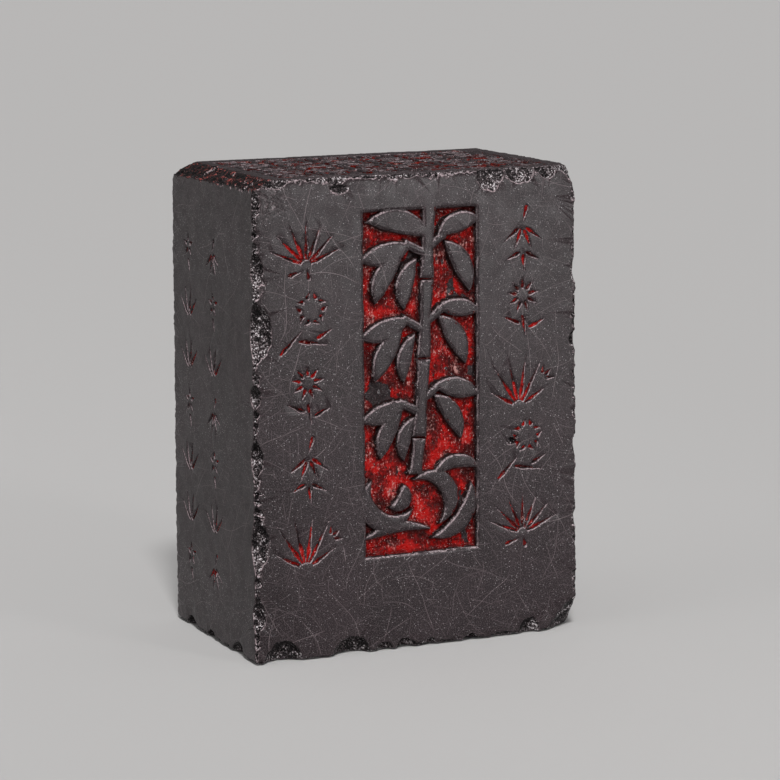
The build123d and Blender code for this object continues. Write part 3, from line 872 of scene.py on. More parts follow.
def build_mesh(name, points, quads, big_faces=()):
    """A mesh from arrays: points in millimetres, four-sided faces and any larger faces."""
    mesh = bpy.data.meshes.new(name)
    corners = np.concatenate([quads.ravel(), *big_faces]).astype(np.int32)
    totals = np.concatenate([np.full(len(quads), 4), [len(face) for face in big_faces]]).astype(np.int32)
    starts = np.concatenate([[0], np.cumsum(totals)[:-1]]).astype(np.int32)
    mesh.vertices.add(len(points))
    mesh.vertices.foreach_set("co", (points / TO_MM).astype(np.float32).ravel())
    mesh.loops.add(len(corners))
    mesh.loops.foreach_set("vertex_index", corners)
    mesh.polygons.add(len(totals))
    mesh.polygons.foreach_set("loop_start", starts)
    mesh.update(calc_edges=True)
    mesh.validate()
    return mesh


def add_piece(name, mesh, faces):
    """An object whose mesh has about this many triangles, smooth but for its sharp edges."""
    piece = bpy.data.objects.new(name, mesh)
    bpy.context.scene.collection.objects.link(piece)
    thin = piece.modifiers.new("Fewer faces", "DECIMATE")
    thin.ratio = min(1.0, faces / (2 * len(mesh.polygons)))
    piece.modifiers.new("Triangles", "TRIANGULATE")
    graph = bpy.context.evaluated_depsgraph_get()
    fewer = bpy.data.meshes.new_from_object(piece.evaluated_get(graph))
    piece.modifiers.clear()
    piece.data = fewer
    bpy.data.meshes.remove(mesh)
    fewer.name = name
    fewer.polygons.foreach_set("use_smooth", np.ones(len(fewer.polygons), bool))
    fewer.set_sharp_from_angle(angle=SHARP_ANGLE)
    weigh = piece.modifiers.new("Flat faces stay flat", "WEIGHTED_NORMAL")
    weigh.keep_sharp = True
    return piece


def read_rows(items, field, width=3, kind=np.float32):
    """A row of this many values for each item of a mesh."""
    values = np.zeros(len(items) * width, kind)
    items.foreach_get(field, values)
    return values.reshape(-1, width)


def mesh_points(mesh):
    return read_rows(mesh.vertices, "co").astype(float) * TO_MM


def mesh_corners(mesh):
    """The three points of every face."""
    return read_rows(mesh.loops, "vertex_index", 1, np.int32).reshape(-1, 3)


def store_values(mesh, name, values):
    """Values for every corner of every face, so that a wide flat face next to a cut stays plain."""
    attribute = mesh.attributes.new(name, "FLOAT", "CORNER")
    attribute.data.foreach_set("value", values.astype(np.float32).ravel())


def store_uvs(mesh, places):
    """Places in millimetres for every corner of every face, set as the mesh's only UV map."""
    layer = mesh.uv_layers.new(name=UV_NAME)
    layer.uv.foreach_set("vector", (places / UV_SPAN).astype(np.float32).ravel())


# The way to the light on each carved face, which the stone's painted highlights, painted shade and painted glints
# follow
LIT_WAYS = {"front": (-0.45, 0, 0.9), "left": (0, -0.45, 0.9), "top": (-0.15, -0.5, 0)}


def stone_details(mesh):
    """Stores depth, carving, crumbs, turn to the light and worn slope at every corner, and a flat map."""
    points = mesh_points(mesh)
    faces = face_of(from_core(points))
    corners = mesh_corners(mesh)
    normals = read_rows(mesh.corner_normals, "vector")
    sunk, carved, crumbs = np.zeros((3, len(points)))
    turned = np.zeros(len(mesh.loops))
    for index, name in enumerate(FACES):
        on_face = np.flatnonzero(faces == index)
        normal, offset = face_plane(name)
        sunk[on_face] = offset - points[on_face] @ normal
        if name in DEPTHS:
            carved[on_face] = DEPTHS[name](face_points(points[on_face], name))
            of_face = faces[corners.ravel()] == index
            in_cut = carved[corners.ravel()[of_face]] > 0.01
            across = np.where(in_cut, 1.0, 0.15)[:, None] * (1, 1, 0) + (0, 0, 1)
            turned[of_face] = (normals[of_face] * across) @ np.array(LIT_WAYS[name])
    low = np.flatnonzero(sunk - carved > 0.01)
    crumbs[low] = crumbled(points[low], CRUMB_SIZE, CRUMB_SEED)[1]
    lengths = np.linalg.norm(points[corners] - points[np.roll(corners, 1, axis=1)], axis=2)
    worked = ((sunk[corners].max(1) > 0.02) & (lengths.max(1) < 0.8))[:, None]
    slope, level = worn_slope()
    on_slope = 1 - ease(np.abs(level - points @ slope), 0.25, 0.5)
    for label, values in {"sunk": sunk, "carved": carved, "slope": on_slope}.items():
        store_values(mesh, label, values[corners] * worked)
    store_values(mesh, "crumb", crumbs[corners])
    store_values(mesh, "turned", turned)
    faces = face_of(from_core(points[corners].mean(1)))
    half = half_sizes() * (1, 1, 0)
    places = np.zeros((len(corners), 3, 2))
    for index, (name, (_, _, (one, two))) in enumerate(FACES.items()):
        on_face = faces == index
        spots = (points + half)[corners[on_face]]
        places[on_face] = spots[..., [one, two]] + 0.5 + np.array(UV_CORNERS[name])
    store_uvs(mesh, places.reshape(-1, 2))


def close_gaps(kept):
    """Fills cells so that no two kept cells touch only at a corner."""
    for _ in range(3):
        lone = kept[:-1, :-1] & kept[1:, 1:] & ~kept[1:, :-1] & ~kept[:-1, 1:]
        kept[1:, :-1] |= lone
        lone = kept[1:, :-1] & kept[:-1, 1:] & ~kept[:-1, :-1] & ~kept[1:, 1:]
        kept[:-1, :-1] |= lone
    return kept


# The red, in millimetres: film thinner than this is left out, none comes nearer than this to the face, its underside
# lies this far under the deepest ground or at this depth in a cut, and its grids go past its carving by the margins
THINNEST_FILM, FILM_TO_FACE = -0.02, 0.01
UNDER_GROUND, UNDER_CUT = 0.3, 0.55
PANEL_MARGIN, COLUMN_MARGIN, FRET_MARGIN = 0.2, 0.3, 0.5
COLUMN_GRID_SHARE = 0.85
BROAD_FACES, COLUMN_FACES = 150000, 60000


class FacePatch:
    """A grid of points over part of a carved face, and the depth of the carving at each of them."""

    def __init__(self, face, low, high, spacing):
        self.face = face
        self.lines = [np.linspace(start, end, max(2, round((end - start) / spacing) + 1))
                      for start, end in zip(low, high)]
        self.shape = tuple(len(line) for line in self.lines)
        self.points = np.column_stack([grid.ravel() for grid in np.meshgrid(*self.lines, indexing="ij")])
        self.depth = DEPTHS[face](self.points)

    def facing(self, axis):
        """How far each place looks along an axis of the face, from -1 to 1, from the slope of the carving."""
        slope = np.gradient(self.depth.reshape(self.shape), self.lines[axis], axis=axis).ravel()
        return np.clip(slope / 1.5, -1, 1)

    def in_block(self, depth):
        """The grid's points at this depth below the face, in the block's own space."""
        one, two = self.points.T
        normal, offset = face_plane(self.face)
        if self.face == "front":
            flat = np.column_stack([one, np.full(len(one), -offset), two])
        elif self.face == "left":
            flat = np.column_stack([(offset - two * normal[2]) / normal[0], -one, two])
        else:
            flat = np.column_stack([one, two, np.full(len(one), offset)])
        return flat - np.outer(depth, normal)


def film_mesh(name, patch, film, under):
    """A closed layer over the carving where the film is thicker than nothing, with a flat underside."""
    thick = film.reshape(patch.shape)
    thickest = np.maximum.reduce([thick[:-1, :-1], thick[1:, :-1], thick[:-1, 1:], thick[1:, 1:]])
    kept = close_gaps(thickest > THINNEST_FILM)
    index = np.arange(film.size).reshape(patch.shape)
    cells = np.stack([index[:-1, :-1], index[1:, :-1], index[1:, 1:], index[:-1, 1:]], axis=-1)
    tops = cells[kept]
    quads = [tops, tops[:, ::-1] + film.size]
    padded = np.pad(kept, 1)
    rows, columns = padded.shape
    for step_one, step_two, first, second in ((0, -1, 0, 1), (1, 0, 1, 2), (0, 1, 2, 3), (-1, 0, 3, 0)):
        beyond = padded[1 + step_one:rows - 1 + step_one, 1 + step_two:columns - 1 + step_two]
        edge = cells[kept & ~beyond][:, [second, first]]
        quads.append(np.column_stack([edge, edge[:, ::-1] + film.size]))
    points = np.vstack([patch.in_block(patch.depth - film), patch.in_block(np.full(film.size, under))])
    used, quads = np.unique(np.vstack(quads), return_inverse=True)
    quads = quads.reshape(-1, 4)
    return build_mesh(name, points[used], quads[:, ::-1] if patch.face == "left" else quads)


def film_details(mesh, patch, values):
    """Stores these values of the film at every corner, and a flat map of its upper and under side."""
    flat = face_points(mesh_points(mesh), patch.face)
    spots = tuple(np.clip(np.searchsorted(line, flat[:, axis]), 0, len(line) - 1)
                  for axis, line in enumerate(patch.lines))
    corners = mesh_corners(mesh)
    for label, value in values.items():
        store_values(mesh, label, value.reshape(patch.shape)[spots][corners])
    axis, sign, _ = FACES[patch.face]
    under = sign * read_rows(mesh.polygons, "normal")[:, axis] < -0.5
    low, high = (np.array([line[end] for line in patch.lines]) for end in (0, -1))
    places = flat[corners] - low + 0.5
    places[under] += (high[0] - low[0] + 1.5, 0)
    store_uvs(mesh, places.reshape(-1, 2))


# The reds: for each material slot its material's name, the setting of its fresh colour and its roughness
REDS = {"cinnabar_pigment": ("Cinnabar pigment", "cinnabar", 0.20), "seal_paste": ("Dried seal paste", "paste", 0.72)}
TOP_EDGE_HEIGHTS = (66.1, 66.6)


class Wires:
    """Short calls for building one node tree."""

    def __init__(self, tree):
        self.nodes, self.links = tree.nodes, tree.links

    def feed(self, socket, value):
        if isinstance(value, bpy.types.NodeSocket):
            self.links.new(value, socket)
        else:
            socket.default_value = value

    def add(self, kind, sockets=None, **settings):
        node = self.nodes.new("ShaderNode" + kind)
        for name, value in settings.items():
            setattr(node, name, value)
        for socket, value in (sockets or {}).items():
            self.feed(node.inputs[socket], value)
        return node

    def maths(self, operation, one, two=0.0, three=0.0):
        return self.add("Math", {0: one, 1: two, 2: three}, operation=operation).outputs[0]

    def plus(self, one, two):
        return self.maths("ADD", one, two)

    def minus(self, one, two):
        return self.maths("SUBTRACT", one, two)

    def times(self, one, two):
        return self.maths("MULTIPLY", one, two)

    def times_plus(self, one, two, three):
        return self.maths("MULTIPLY_ADD", one, two, three)

    def larger(self, one, two):
        return self.maths("MAXIMUM", one, two)

    def band(self, value, low, high, fade, gone, rest=0.0):
        """Eases from 0 to 1 from low to high, and down to the rest from fade to gone."""
        return self.times(self.between(value, low, high), self.between(value, fade, gone, 1.0, rest))

    def vector(self, operation, one, two):
        return self.add("VectorMath", {0: one, 1: two}, operation=operation).outputs[0]

    def scale(self, vector, factor):
        return self.add("VectorMath", {0: vector, "Scale": factor}, operation="SCALE").outputs[0]

    def mix(self, share, one, two):
        """Two colours mixed by a share of the second."""
        return self.add("Mix", {0: share, 6: one, 7: two}, data_type="RGBA").outputs[2]

    def between(self, value, low, high, to_low=0.0, to_high=1.0):
        """Eases from one result to another while a value goes from low to high."""
        node = self.add("MapRange", {0: value, 1: low, 2: high, 3: to_low, 4: to_high},
                        interpolation_type="SMOOTHSTEP")
        return node.outputs[0]

    def noise(self, vector, size, detail=2.0, roughness=0.5, distortion=0.0):
        return self.add("TexNoise", {"Vector": vector, "Scale": 1.0 / size, "Detail": detail, "Roughness": roughness,
                                     "Distortion": distortion}, noise_dimensions="3D").outputs[0]

    def attribute(self, name):
        return self.add("Attribute", attribute_name=name).outputs["Fac"]


def new_group(name, inputs, output_names):
    """A shader node group with named sockets, and the wires inside it."""
    group = bpy.data.node_groups.new(name, "ShaderNodeTree")
    for label, default in inputs.items():
        kind = "NodeSocketVector" if default is None else "NodeSocketFloat"
        socket = group.interface.new_socket(name=label, in_out="INPUT", socket_type=kind)
        if default is not None:
            socket.default_value = default
    for label in output_names:
        group.interface.new_socket(name=label, in_out="OUTPUT", socket_type="NodeSocketFloat")
    wires = Wires(group)
    return wires, wires.nodes.new("NodeGroupInput").outputs, wires.nodes.new("NodeGroupOutput").inputs


def scratch_group():
    """Hairline scratches in every direction over a flat map, as a mask: thin, nearly straight, of mixed strength."""
    name = "Hairline scratches"
    if name in bpy.data.node_groups:
        return bpy.data.node_groups[name]
    wires, inputs, outputs = new_group(name, {"Map": None, "Gap": 2.4, "Length": 15.0, "Width": 0.05}, ["Scratches"])
    bend = wires.add("TexNoise", {"Vector": inputs["Map"], "Scale": 0.07, "Detail": 1.0}, noise_dimensions="2D")
    bent = wires.vector("ADD", inputs["Map"], wires.scale(bend.outputs["Color"], 6.0))
    total = 0.0
    for step, angle in enumerate((14, 62, 104, 153)):
        turned = wires.add("VectorRotate", {"Vector": bent, "Angle": math.radians(angle)}, rotation_type="Z_AXIS")
        parts = wires.add("SeparateXYZ", {0: turned.outputs[0]}).outputs
        across = wires.plus(wires.maths("DIVIDE", parts[1], inputs["Gap"]), 13.7 * step)
        row = wires.maths("FLOOR", across)
        shift = wires.add("TexWhiteNoise", {"W": row}, noise_dimensions="1D").outputs["Value"]
        along = wires.plus(wires.maths("DIVIDE", parts[0], inputs["Length"]), wires.times(shift, 9))
        cell = wires.add("CombineXYZ", {0: row, 1: wires.maths("FLOOR", along)}).outputs[0]
        chance = wires.add("TexWhiteNoise", {"Vector": cell}, noise_dimensions="2D").outputs
        picks = wires.add("SeparateColor", {0: chance["Color"]}).outputs
        run = wires.minus(wires.maths("FRACT", along), 0.5)
        lean = wires.times(run, wires.minus(picks[1], 0.5))
        middle = wires.plus(wires.times_plus(picks[0], 0.5, 0.25), lean)
        away = wires.times(wires.maths("ABSOLUTE", wires.minus(wires.maths("FRACT", across), middle)), inputs["Gap"])
        line = wires.between(away, wires.times(inputs["Width"], 0.3), inputs["Width"], 1.0, 0.0)
        reach = wires.times_plus(picks[2], 0.42, 0.06)
        ends = wires.between(wires.maths("ABSOLUTE", run), wires.times(reach, 0.6), reach, 1.0, 0.0)
        strength = wires.maths("POWER", chance["Value"], 1.6)
        total = wires.larger(total, wires.times(wires.times(line, ends), strength))
    wires.feed(outputs["Scratches"], total)
    return bpy.data.node_groups[name]


def grit_group():
    """Mineral grit: a mask of bright specks, which the stone paints as glints, and an even fine grain."""
    name = "Grit"
    if name in bpy.data.node_groups:
        return bpy.data.node_groups[name]
    wires, inputs, outputs = new_group(name, {"Position": None, "Size": 0.2}, ["Grain", "Specks"])
    spots = wires.scale(inputs["Position"], wires.maths("DIVIDE", 1.0, inputs["Size"]))
    wires.feed(outputs["Grain"], wires.noise(spots, 1.0, detail=3.0, roughness=0.65))
    cells = wires.add("TexVoronoi", {"Vector": spots, "Scale": 0.8}, feature="F1").outputs
    pick = wires.add("SeparateColor", {0: cells["Color"]}).outputs[0]
    round_spot = wires.between(cells["Distance"], 0.1, 0.45, 1.0, 0.0)
    wires.feed(outputs["Specks"], wires.times(wires.between(pick, 0.86, 0.98), round_spot))
    return bpy.data.node_groups[name]


def start_material(name):
    """A material with its shader, the position and the flat map in millimetres."""
    material = bpy.data.materials.new(name)
    material.use_nodes = True
    material.node_tree.nodes.clear()
    wires = Wires(material.node_tree)
    shader = wires.add("BsdfPrincipled")
    output = wires.add("OutputMaterial", {"Surface": shader.outputs[0]})
    output.is_active_output = True
    place = wires.scale(wires.add("TexCoord").outputs["Object"], TO_MM)
    chart = wires.scale(wires.add("UVMap", uv_map=UV_NAME).outputs[0], UV_SPAN)
    return material, wires, shader, place, chart


def place_group(wires, group, **values):
    return wires.add("Group", values, node_tree=group).outputs


def colour(values, strength=1.0):
    return (*(strength * v for v in values), 1.0)


def stone_material():
    """Honed black stone with scratches, grain, frosted breaks with painted light and shade, rims with painted
    highlights and painted shade, cuts with painted shade and a dark red stain, and a darker worn slope with red
    flecks.
    """
    block = block_settings()
    material, wires, shader, place, chart = start_material("Dark seal stone")
    # black is the stone colour darkened, used for painted shade, the stain and the slope
    pale, black = colour(block.broken_colour), colour(block.colour, 0.25)
    sunk, carved, turned, slope = (wires.attribute(label) for label in ("sunk", "carved", "turned", "slope"))
    loss = wires.minus(sunk, carved)
    fine = wires.noise(place, 0.26, detail=4.0, roughness=0.7)
    crumb = wires.times_plus(wires.attribute("crumb"), 0.7, wires.times_plus(fine, 9.0, -4.5))

    scratches = place_group(wires, scratch_group(), Map=chart, Gap=3.3, Length=15.0, Width=0.045)[0]
    moved = wires.vector("ADD", chart, (37.0, 11.0, 0.0))
    faint = place_group(wires, scratch_group(), Map=moved, Gap=0.8, Length=5.0, Width=0.036)[0]
    lines = wires.larger(wires.times(scratches, 0.36), wires.times(faint, 0.22))
    grit = place_group(wires, grit_group(), Position=place, Size=0.15)
    grain = wires.times(wires.between(grit["Grain"], 0.46, 0.74), 0.24)

    # Fresh breaks: a frosted tone of their own, with painted shade where they turn away from the light, painted light
    # where they face it and white painted glints on the lit crumbs
    broken = wires.between(loss, 0.02, 0.10)
    lit = wires.between(turned, -0.40, 0.30, 0.15, 1.0)
    frost_and_light = wires.times(wires.between(crumb, -0.3, 1.6), lit)
    dull = wires.mix(frost_and_light, black, colour(block.broken_colour, 0.75))
    fresh = wires.mix(wires.times(wires.between(crumb, 0.9, 1.4), lit), dull, colour((0.85, 0.81, 0.83)))

    # Rims of breaks and cuts: painted highlight where they face the light, painted shade where they turn away
    brim = wires.band(loss, 0.01, 0.04, 0.07, 0.18)
    dark_brim = wires.times(brim, wires.between(turned, -0.30, -0.05, 0.9, 0.0))
    pale_brim = wires.times(brim, wires.between(turned, 0.0, 0.30, 0.1, 0.9))
    lip = wires.times(wires.band(sunk, 0.02, 0.06, 0.10, 0.24), wires.between(turned, 0.10, 0.45, 0.0, 0.95))
    # Painted highlights on rims and lips that face the light, in patches
    rubbing_and_highlight = wires.times(wires.larger(pale_brim, lip), wires.between(fine, 0.40, 0.56, 0.1, 1.0))
    # Cuts: painted shade down the walls of the carving, with patches of dark red stain
    hollow = wires.band(carved, 0.10, 0.35, 0.80, 1.0, 0.3)
    stain_and_shade = wires.mix(wires.between(fine, 0.45, 0.65, 0.0, 0.5), black, colour((0.05, 0.004, 0.003)))
    # Painted glints: pale mineral specks, brighter where they face the light
    glints = wires.times(grit["Specks"], wires.between(turned, -0.2, 0.2, 0.3, 0.8))
    # The worn slope: darker, with red flecks
    slope_dark_red = wires.mix(wires.between(crumb, 0.7, 1.4, 0.0, 0.9), black, colour((0.40, 0.05, 0.035)))

    clouds = wires.noise(place, 9.0, detail=5.0, roughness=0.6)
    body = wires.mix(wires.between(clouds, 0.3, 0.7), colour(block.colour, 0.75), colour(block.colour, 1.3))
    for share, layer in ((grain, pale), (lines, pale), (wires.times(broken, 0.95), fresh), (hollow, stain_and_shade),
                         (dark_brim, black), (rubbing_and_highlight, pale), (glints, colour((0.60, 0.56, 0.58))),
                         (wires.times(slope, 0.92), slope_dark_red)):
        body = wires.mix(share, body, layer)

    # The flat faces shine a little, and the top edge and the worn slope don't
    gloss = wires.between(wires.noise(place, 2.2, detail=4.0), 0.3, 0.7, 0.30, 0.40)
    gloss = wires.minus(gloss, wires.times(broken, 0.12))
    height = wires.add("SeparateXYZ", {0: place}).outputs[2]
    above = wires.larger(wires.between(height, *TOP_EDGE_HEIGHTS), slope)
    skin = wires.minus(wires.times(grit["Grain"], 0.014), wires.times(lines, 0.008))
    rough = wires.times(fine, wires.between(sunk, 0.05, 0.3, 0.0, 0.20))
    finish_material(wires, shader, body, wires.times_plus(above, 0.50, gloss), 0.14, wires.plus(skin, rough))
    return material


def finish_material(wires, shader, body, roughness, specular, height):
    """Joins colour, roughness and a bump of this height, in millimetres, to a material's shader."""
    bump = wires.add("Bump", {"Height": height, "Strength": 1.0, "Distance": 1 / TO_MM})
    for socket, value in {"Base Color": body, "Roughness": roughness, "Specular IOR Level": specular,
                          "Normal": bump.outputs[0]}.items():
        wires.feed(shader.inputs[socket], value)


def red_material(slot):
    """Red with fresh and old patches, chisel streaks, high spots worn pale and dusty, painted shade and dirt beside
    the walls, painted glints and a lumpy skin.
    """
    name, fresh, smooth = REDS[slot]
    if name in bpy.data.materials:
        return bpy.data.materials[name]
    pigment = pigment_settings()
    old, deep = colour(pigment.old_cinnabar), colour(pigment.old_cinnabar, 0.3)
    material, wires, shader, place, _ = start_material(name)
    film, nook, dusty = (wires.attribute(label) for label in ("film", "nook", "dusty"))
    broad = wires.noise(place, 3.6, detail=5.0, roughness=0.6)
    worn = wires.noise(wires.vector("ADD", place, (31.0, 5.0, 17.0)), 2.6, detail=4.0, roughness=0.6)
    streaks = wires.noise(wires.vector("MULTIPLY", place, (1.7, 1.7, 0.4)), 0.55, detail=4.0, roughness=0.65)
    lumps = wires.noise(place, 0.36, detail=4.0, roughness=0.6)
    tone = wires.times_plus(streaks, 0.8, wires.times_plus(broad, 2.8, -1.8))
    tone = wires.times_plus(lumps, 0.7, wires.minus(tone, 0.35))
    high = wires.minus(wires.times_plus(streaks, 0.5, wires.times(lumps, 0.5)), 0.275)
    high = wires.times_plus(dusty, 0.10, wires.times_plus(worn, 0.55, high))
    dirt = wires.noise(wires.vector("ADD", place, (1.0, 9.0, 2.0)), 0.8, detail=5.0, roughness=0.62, distortion=0.3)
    # Painted glints: near-white streaks on the crests of the lumps
    glints = wires.noise(wires.vector("MULTIPLY", place, (1.6, 1.6, 0.6)), 0.17)
    glints = wires.times(wires.between(glints, 0.655, 0.72), wires.between(lumps, 0.44, 0.56, 0.1, 0.90))
    body = wires.mix(wires.between(tone, -0.38, -0.05), deep, old)
    for share, layer in ((wires.between(tone, -0.11, 0.22), colour(getattr(pigment, fresh))),
                         # Painted shade and dirt beside the walls
                         (wires.times(nook, 0.85), deep),
                         (wires.between(film, 0.02, 0.30, 0.7, 0.0), deep),
                         (wires.between(high, 0.565, 0.69, 0.0, 0.85), colour(pigment.rubbed_cinnabar)),
                         (wires.between(dirt, 0.59, 0.69, 0.0, 0.85), colour((0.014, 0.006, 0.006))),
                         (glints, colour((0.90, 0.80, 0.78)))):
        body = wires.mix(share, body, layer)
    gloss = wires.between(wires.noise(place, 0.8, detail=4.0), 0.3, 0.7, smooth, smooth + 0.25)
    grit = place_group(wires, grit_group(), Position=place, Size=0.24)["Grain"]
    height = wires.times_plus(streaks, 0.22, wires.times_plus(lumps, 0.40, wires.times(grit, 0.04)))
    finish_material(wires, shader, body, gloss, 0.15, height)
    return material


class SEAL_OT_carve_stone(bpy.types.Operator):
    """Builds the worn, chipped and carved block of dark stone"""

    bl_idname = "seal.carve_stone"
    bl_label = "Carved stone"

    def execute(self, context):
        lines, counts, quads, big_faces = surface_lattice(grid_spacing())
        keys = np.unique(np.concatenate([quads.ravel(), *big_faces]))
        index = (keys % counts[0], keys // counts[0] % counts[1], keys // (counts[0] * counts[1]))
        core = np.column_stack([lines[axis][0][index[axis]] for axis in range(3)])
        out = np.column_stack([lines[axis][1][index[axis]] for axis in range(3)])
        faces = face_of(out)
        out /= np.linalg.norm(out, axis=1)[:, None]
        surface = carve(block_surface(core, out), faces)
        mesh = build_mesh("carved_stone", surface, np.searchsorted(keys, quads),
                          [np.searchsorted(keys, face) for face in big_faces])
        piece = add_piece("carved_stone", mesh, block_settings().faces)
        stone_details(piece.data)
        piece.data.materials.append(stone_material())
        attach(piece, "root")
        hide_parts("stone_block")
        return {"FINISHED"}


def add_film(name, node, slot, patch, film, under, full, faces, shade_and_dirt_in_nooks, dusty):
    """Builds one red filling on a patch of a face, from its thickness there down to its underside."""
    film = np.minimum(film, patch.depth - FILM_TO_FACE)
    piece = add_piece(name, film_mesh(name, patch, film, under), faces)
    film_details(piece.data, patch, {"film": np.clip(film / full, 0, 1), "nook": shade_and_dirt_in_nooks, "dusty": dusty})
    piece.data.materials.append(red_material(slot))
    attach(piece, "root")
    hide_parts(node)


def spot_distance(points, across, up, half_width, half_height):
    """Distance from the middle of an oval spot, which is 1 at its rim."""
    return np.hypot((points[:, 0] - across) / half_width, (points[:, 1] - up) / half_height)


class SEAL_OT_fill_panel(bpy.types.Operator):
    """Lays the worn cinnabar red on the ground of the sunk panel"""

    bl_idname = "seal.fill_panel"
    bl_label = "Red of the panel"

    def execute(self, context):
        corner, size = panel_box()
        patch = FacePatch("front", corner - PANEL_MARGIN, corner + size + PANEL_MARGIN, grid_spacing())
        points, depth = patch.points, patch.depth
        full, sink = pigment_settings().panel_film * TO_MM, carving_settings().panel_sink * TO_MM
        wall = ease(depth + 0.16 * rough_noise(points, 0.9, 141), 0.30 * sink, 0.62 * sink)
        bare = 0.55 * np.maximum(-patch.facing(0), 0) + 0.35 * np.maximum(patch.facing(1), 0)
        film = full * (1.25 * wall - 0.35 - bare * (1 - ease(depth, 0.85 * sink, sink)))
        film += full * (0.55 * rough_noise(points, 0.5, 151, 3) + 0.35 * rough_noise(points * (2.0, 0.7), 0.9, 155))
        ragged = 0.35 * rough_noise(points, 1.2, 161)
        for *place, amount in BARE_PLACES:
            film -= full * amount * (1 - ease(spot_distance(points, *place) + ragged, 0.5, 1.1))
        film -= full * 1.3 * ease(rough_noise(points, 2.6, 165), 0.35, 0.75)
        # Painted shade and dirt beside the walls of the panel, which darken the red there
        shade_and_dirt_in_nooks = 1 - ease(panel_distance(points) + 0.2 * rough_noise(points, 0.8, 167), 0.10, 0.70)
        ragged = 0.3 * rough_noise(points, 0.9, 169)
        dusty = np.max([1 - ease(spot_distance(points, *place) + ragged, 0.2, 1.2) for place in DUSTY_PLACES], axis=0)
        add_film("panel_red", "panel_pigment", "cinnabar_pigment", patch, film, sink + UNDER_GROUND, full,
                 BROAD_FACES, shade_and_dirt_in_nooks, dusty)
        return {"FINISHED"}


def fill_column(node, face, cuts, seed):
    """Red in the knife cuts of one column, thickest at their heads and upper walls."""
    low = np.min([corners.min(0) for corners in cuts], axis=0) - COLUMN_MARGIN
    high = np.max([corners.max(0) for corners in cuts], axis=0) + COLUMN_MARGIN
    patch = FacePatch(face, low, high, grid_spacing() * COLUMN_GRID_SHARE)
    points, depth = patch.points, patch.depth
    full = pigment_settings().column_film * TO_MM
    patches = rough_noise(points, 1.1, seed)
    film = full * (0.35 + 0.9 * patches - 0.55 * patch.facing(1) + 0.3 * rough_noise(points, 0.3, seed + 5))
    film = np.where(depth > 0.10, film, -0.05) - 0.6 * full * (1 - ease(depth, 0.12, 0.30))
    nothing = np.zeros(len(points))
    add_film(node.replace("pigment", "red"), node, "cinnabar_pigment", patch, film, UNDER_CUT, full,
             COLUMN_FACES, nothing, nothing)


class SEAL_OT_fill_columns(bpy.types.Operator):
    """Rubs red pigment into the knife cuts of the four columns"""

    bl_idname = "seal.fill_columns"
    bl_label = "Red of the columns"

    def execute(self, context):
        for face, columns, seed in (("front", front_columns(), 171), ("left", side_columns(), 201)):
            for step, (node, cuts) in enumerate(columns.items()):
                fill_column(node, face, cuts, seed + 11 * step)
        return {"FINISHED"}


class SEAL_OT_press_paste(bpy.types.Operator):
    """Leaves dried seal paste in the ground of the printing face and in patches on its lines"""

    bl_idname = "seal.press_paste"
    bl_label = "Paste on the printing face"

    def execute(self, context):
        low, high = fret_box()
        patch = FacePatch("top", low - FRET_MARGIN, high + FRET_MARGIN, grid_spacing())
        points, depth = patch.points, patch.depth
        full, sink = pigment_settings().paste_film * TO_MM, carving_settings().seal_sink * TO_MM
        film = full * (ease(depth, 0.35 * sink, 0.8 * sink) * 1.1 - 0.25 + 0.5 * rough_noise(points, 0.6, 231))
        smears = 0.45 * full * ease(rough_noise(points, 1.7, 241), 0.18, 0.5) * (1 - ease(depth, 0.1, 0.3))
        film = np.maximum(film, smears - 0.02)
        film -= full * 1.2 * ease(rough_noise(points, 2.4, 251), 0.4, 0.8)
        # Painted shade and dirt beside the raised lines of the fret, which darken the paste there
        shade_and_dirt_in_nooks = 0.7 * (1 - ease(fret_distance(points), 0.05, 0.4))
        add_film("seal_paste_red", "seal_face_paste", "seal_paste", patch, film, sink + UNDER_GROUND, full,
                 BROAD_FACES, shade_and_dirt_in_nooks, np.zeros(len(points)))
        return {"FINISHED"}


# The stage, in metres: the floor, where the lights come from, and the fitted camera
FLOOR_RADIUS, FLOOR_DROP = 6.0, 0.0002
SUN_WAY, SUN_SPREAD = (-0.20, -0.56, 0.80), 10
FRONT_LIGHT_PLACE, FRONT_LIGHT_SIZE, FRONT_LIGHT_BEAM = (0.20, -0.43, 0.060), 0.10, 40
SIDE_LIGHT_PLACE, SIDE_LIGHT_SIZE = (-0.55, -0.05, 0.40), 0.30
CAMERA_PLACE = (-0.17388, -0.38978, 0.10652)
CAMERA_AXES = [(0.91037311, -0.41372194, -0.00741349), (0.07572287, 0.14895708, 0.98594008),
               (-0.40680075, -0.89813470, 0.16693473)]
CAMERA_LENS, CAMERA_SENSOR = 138.46, 36.0


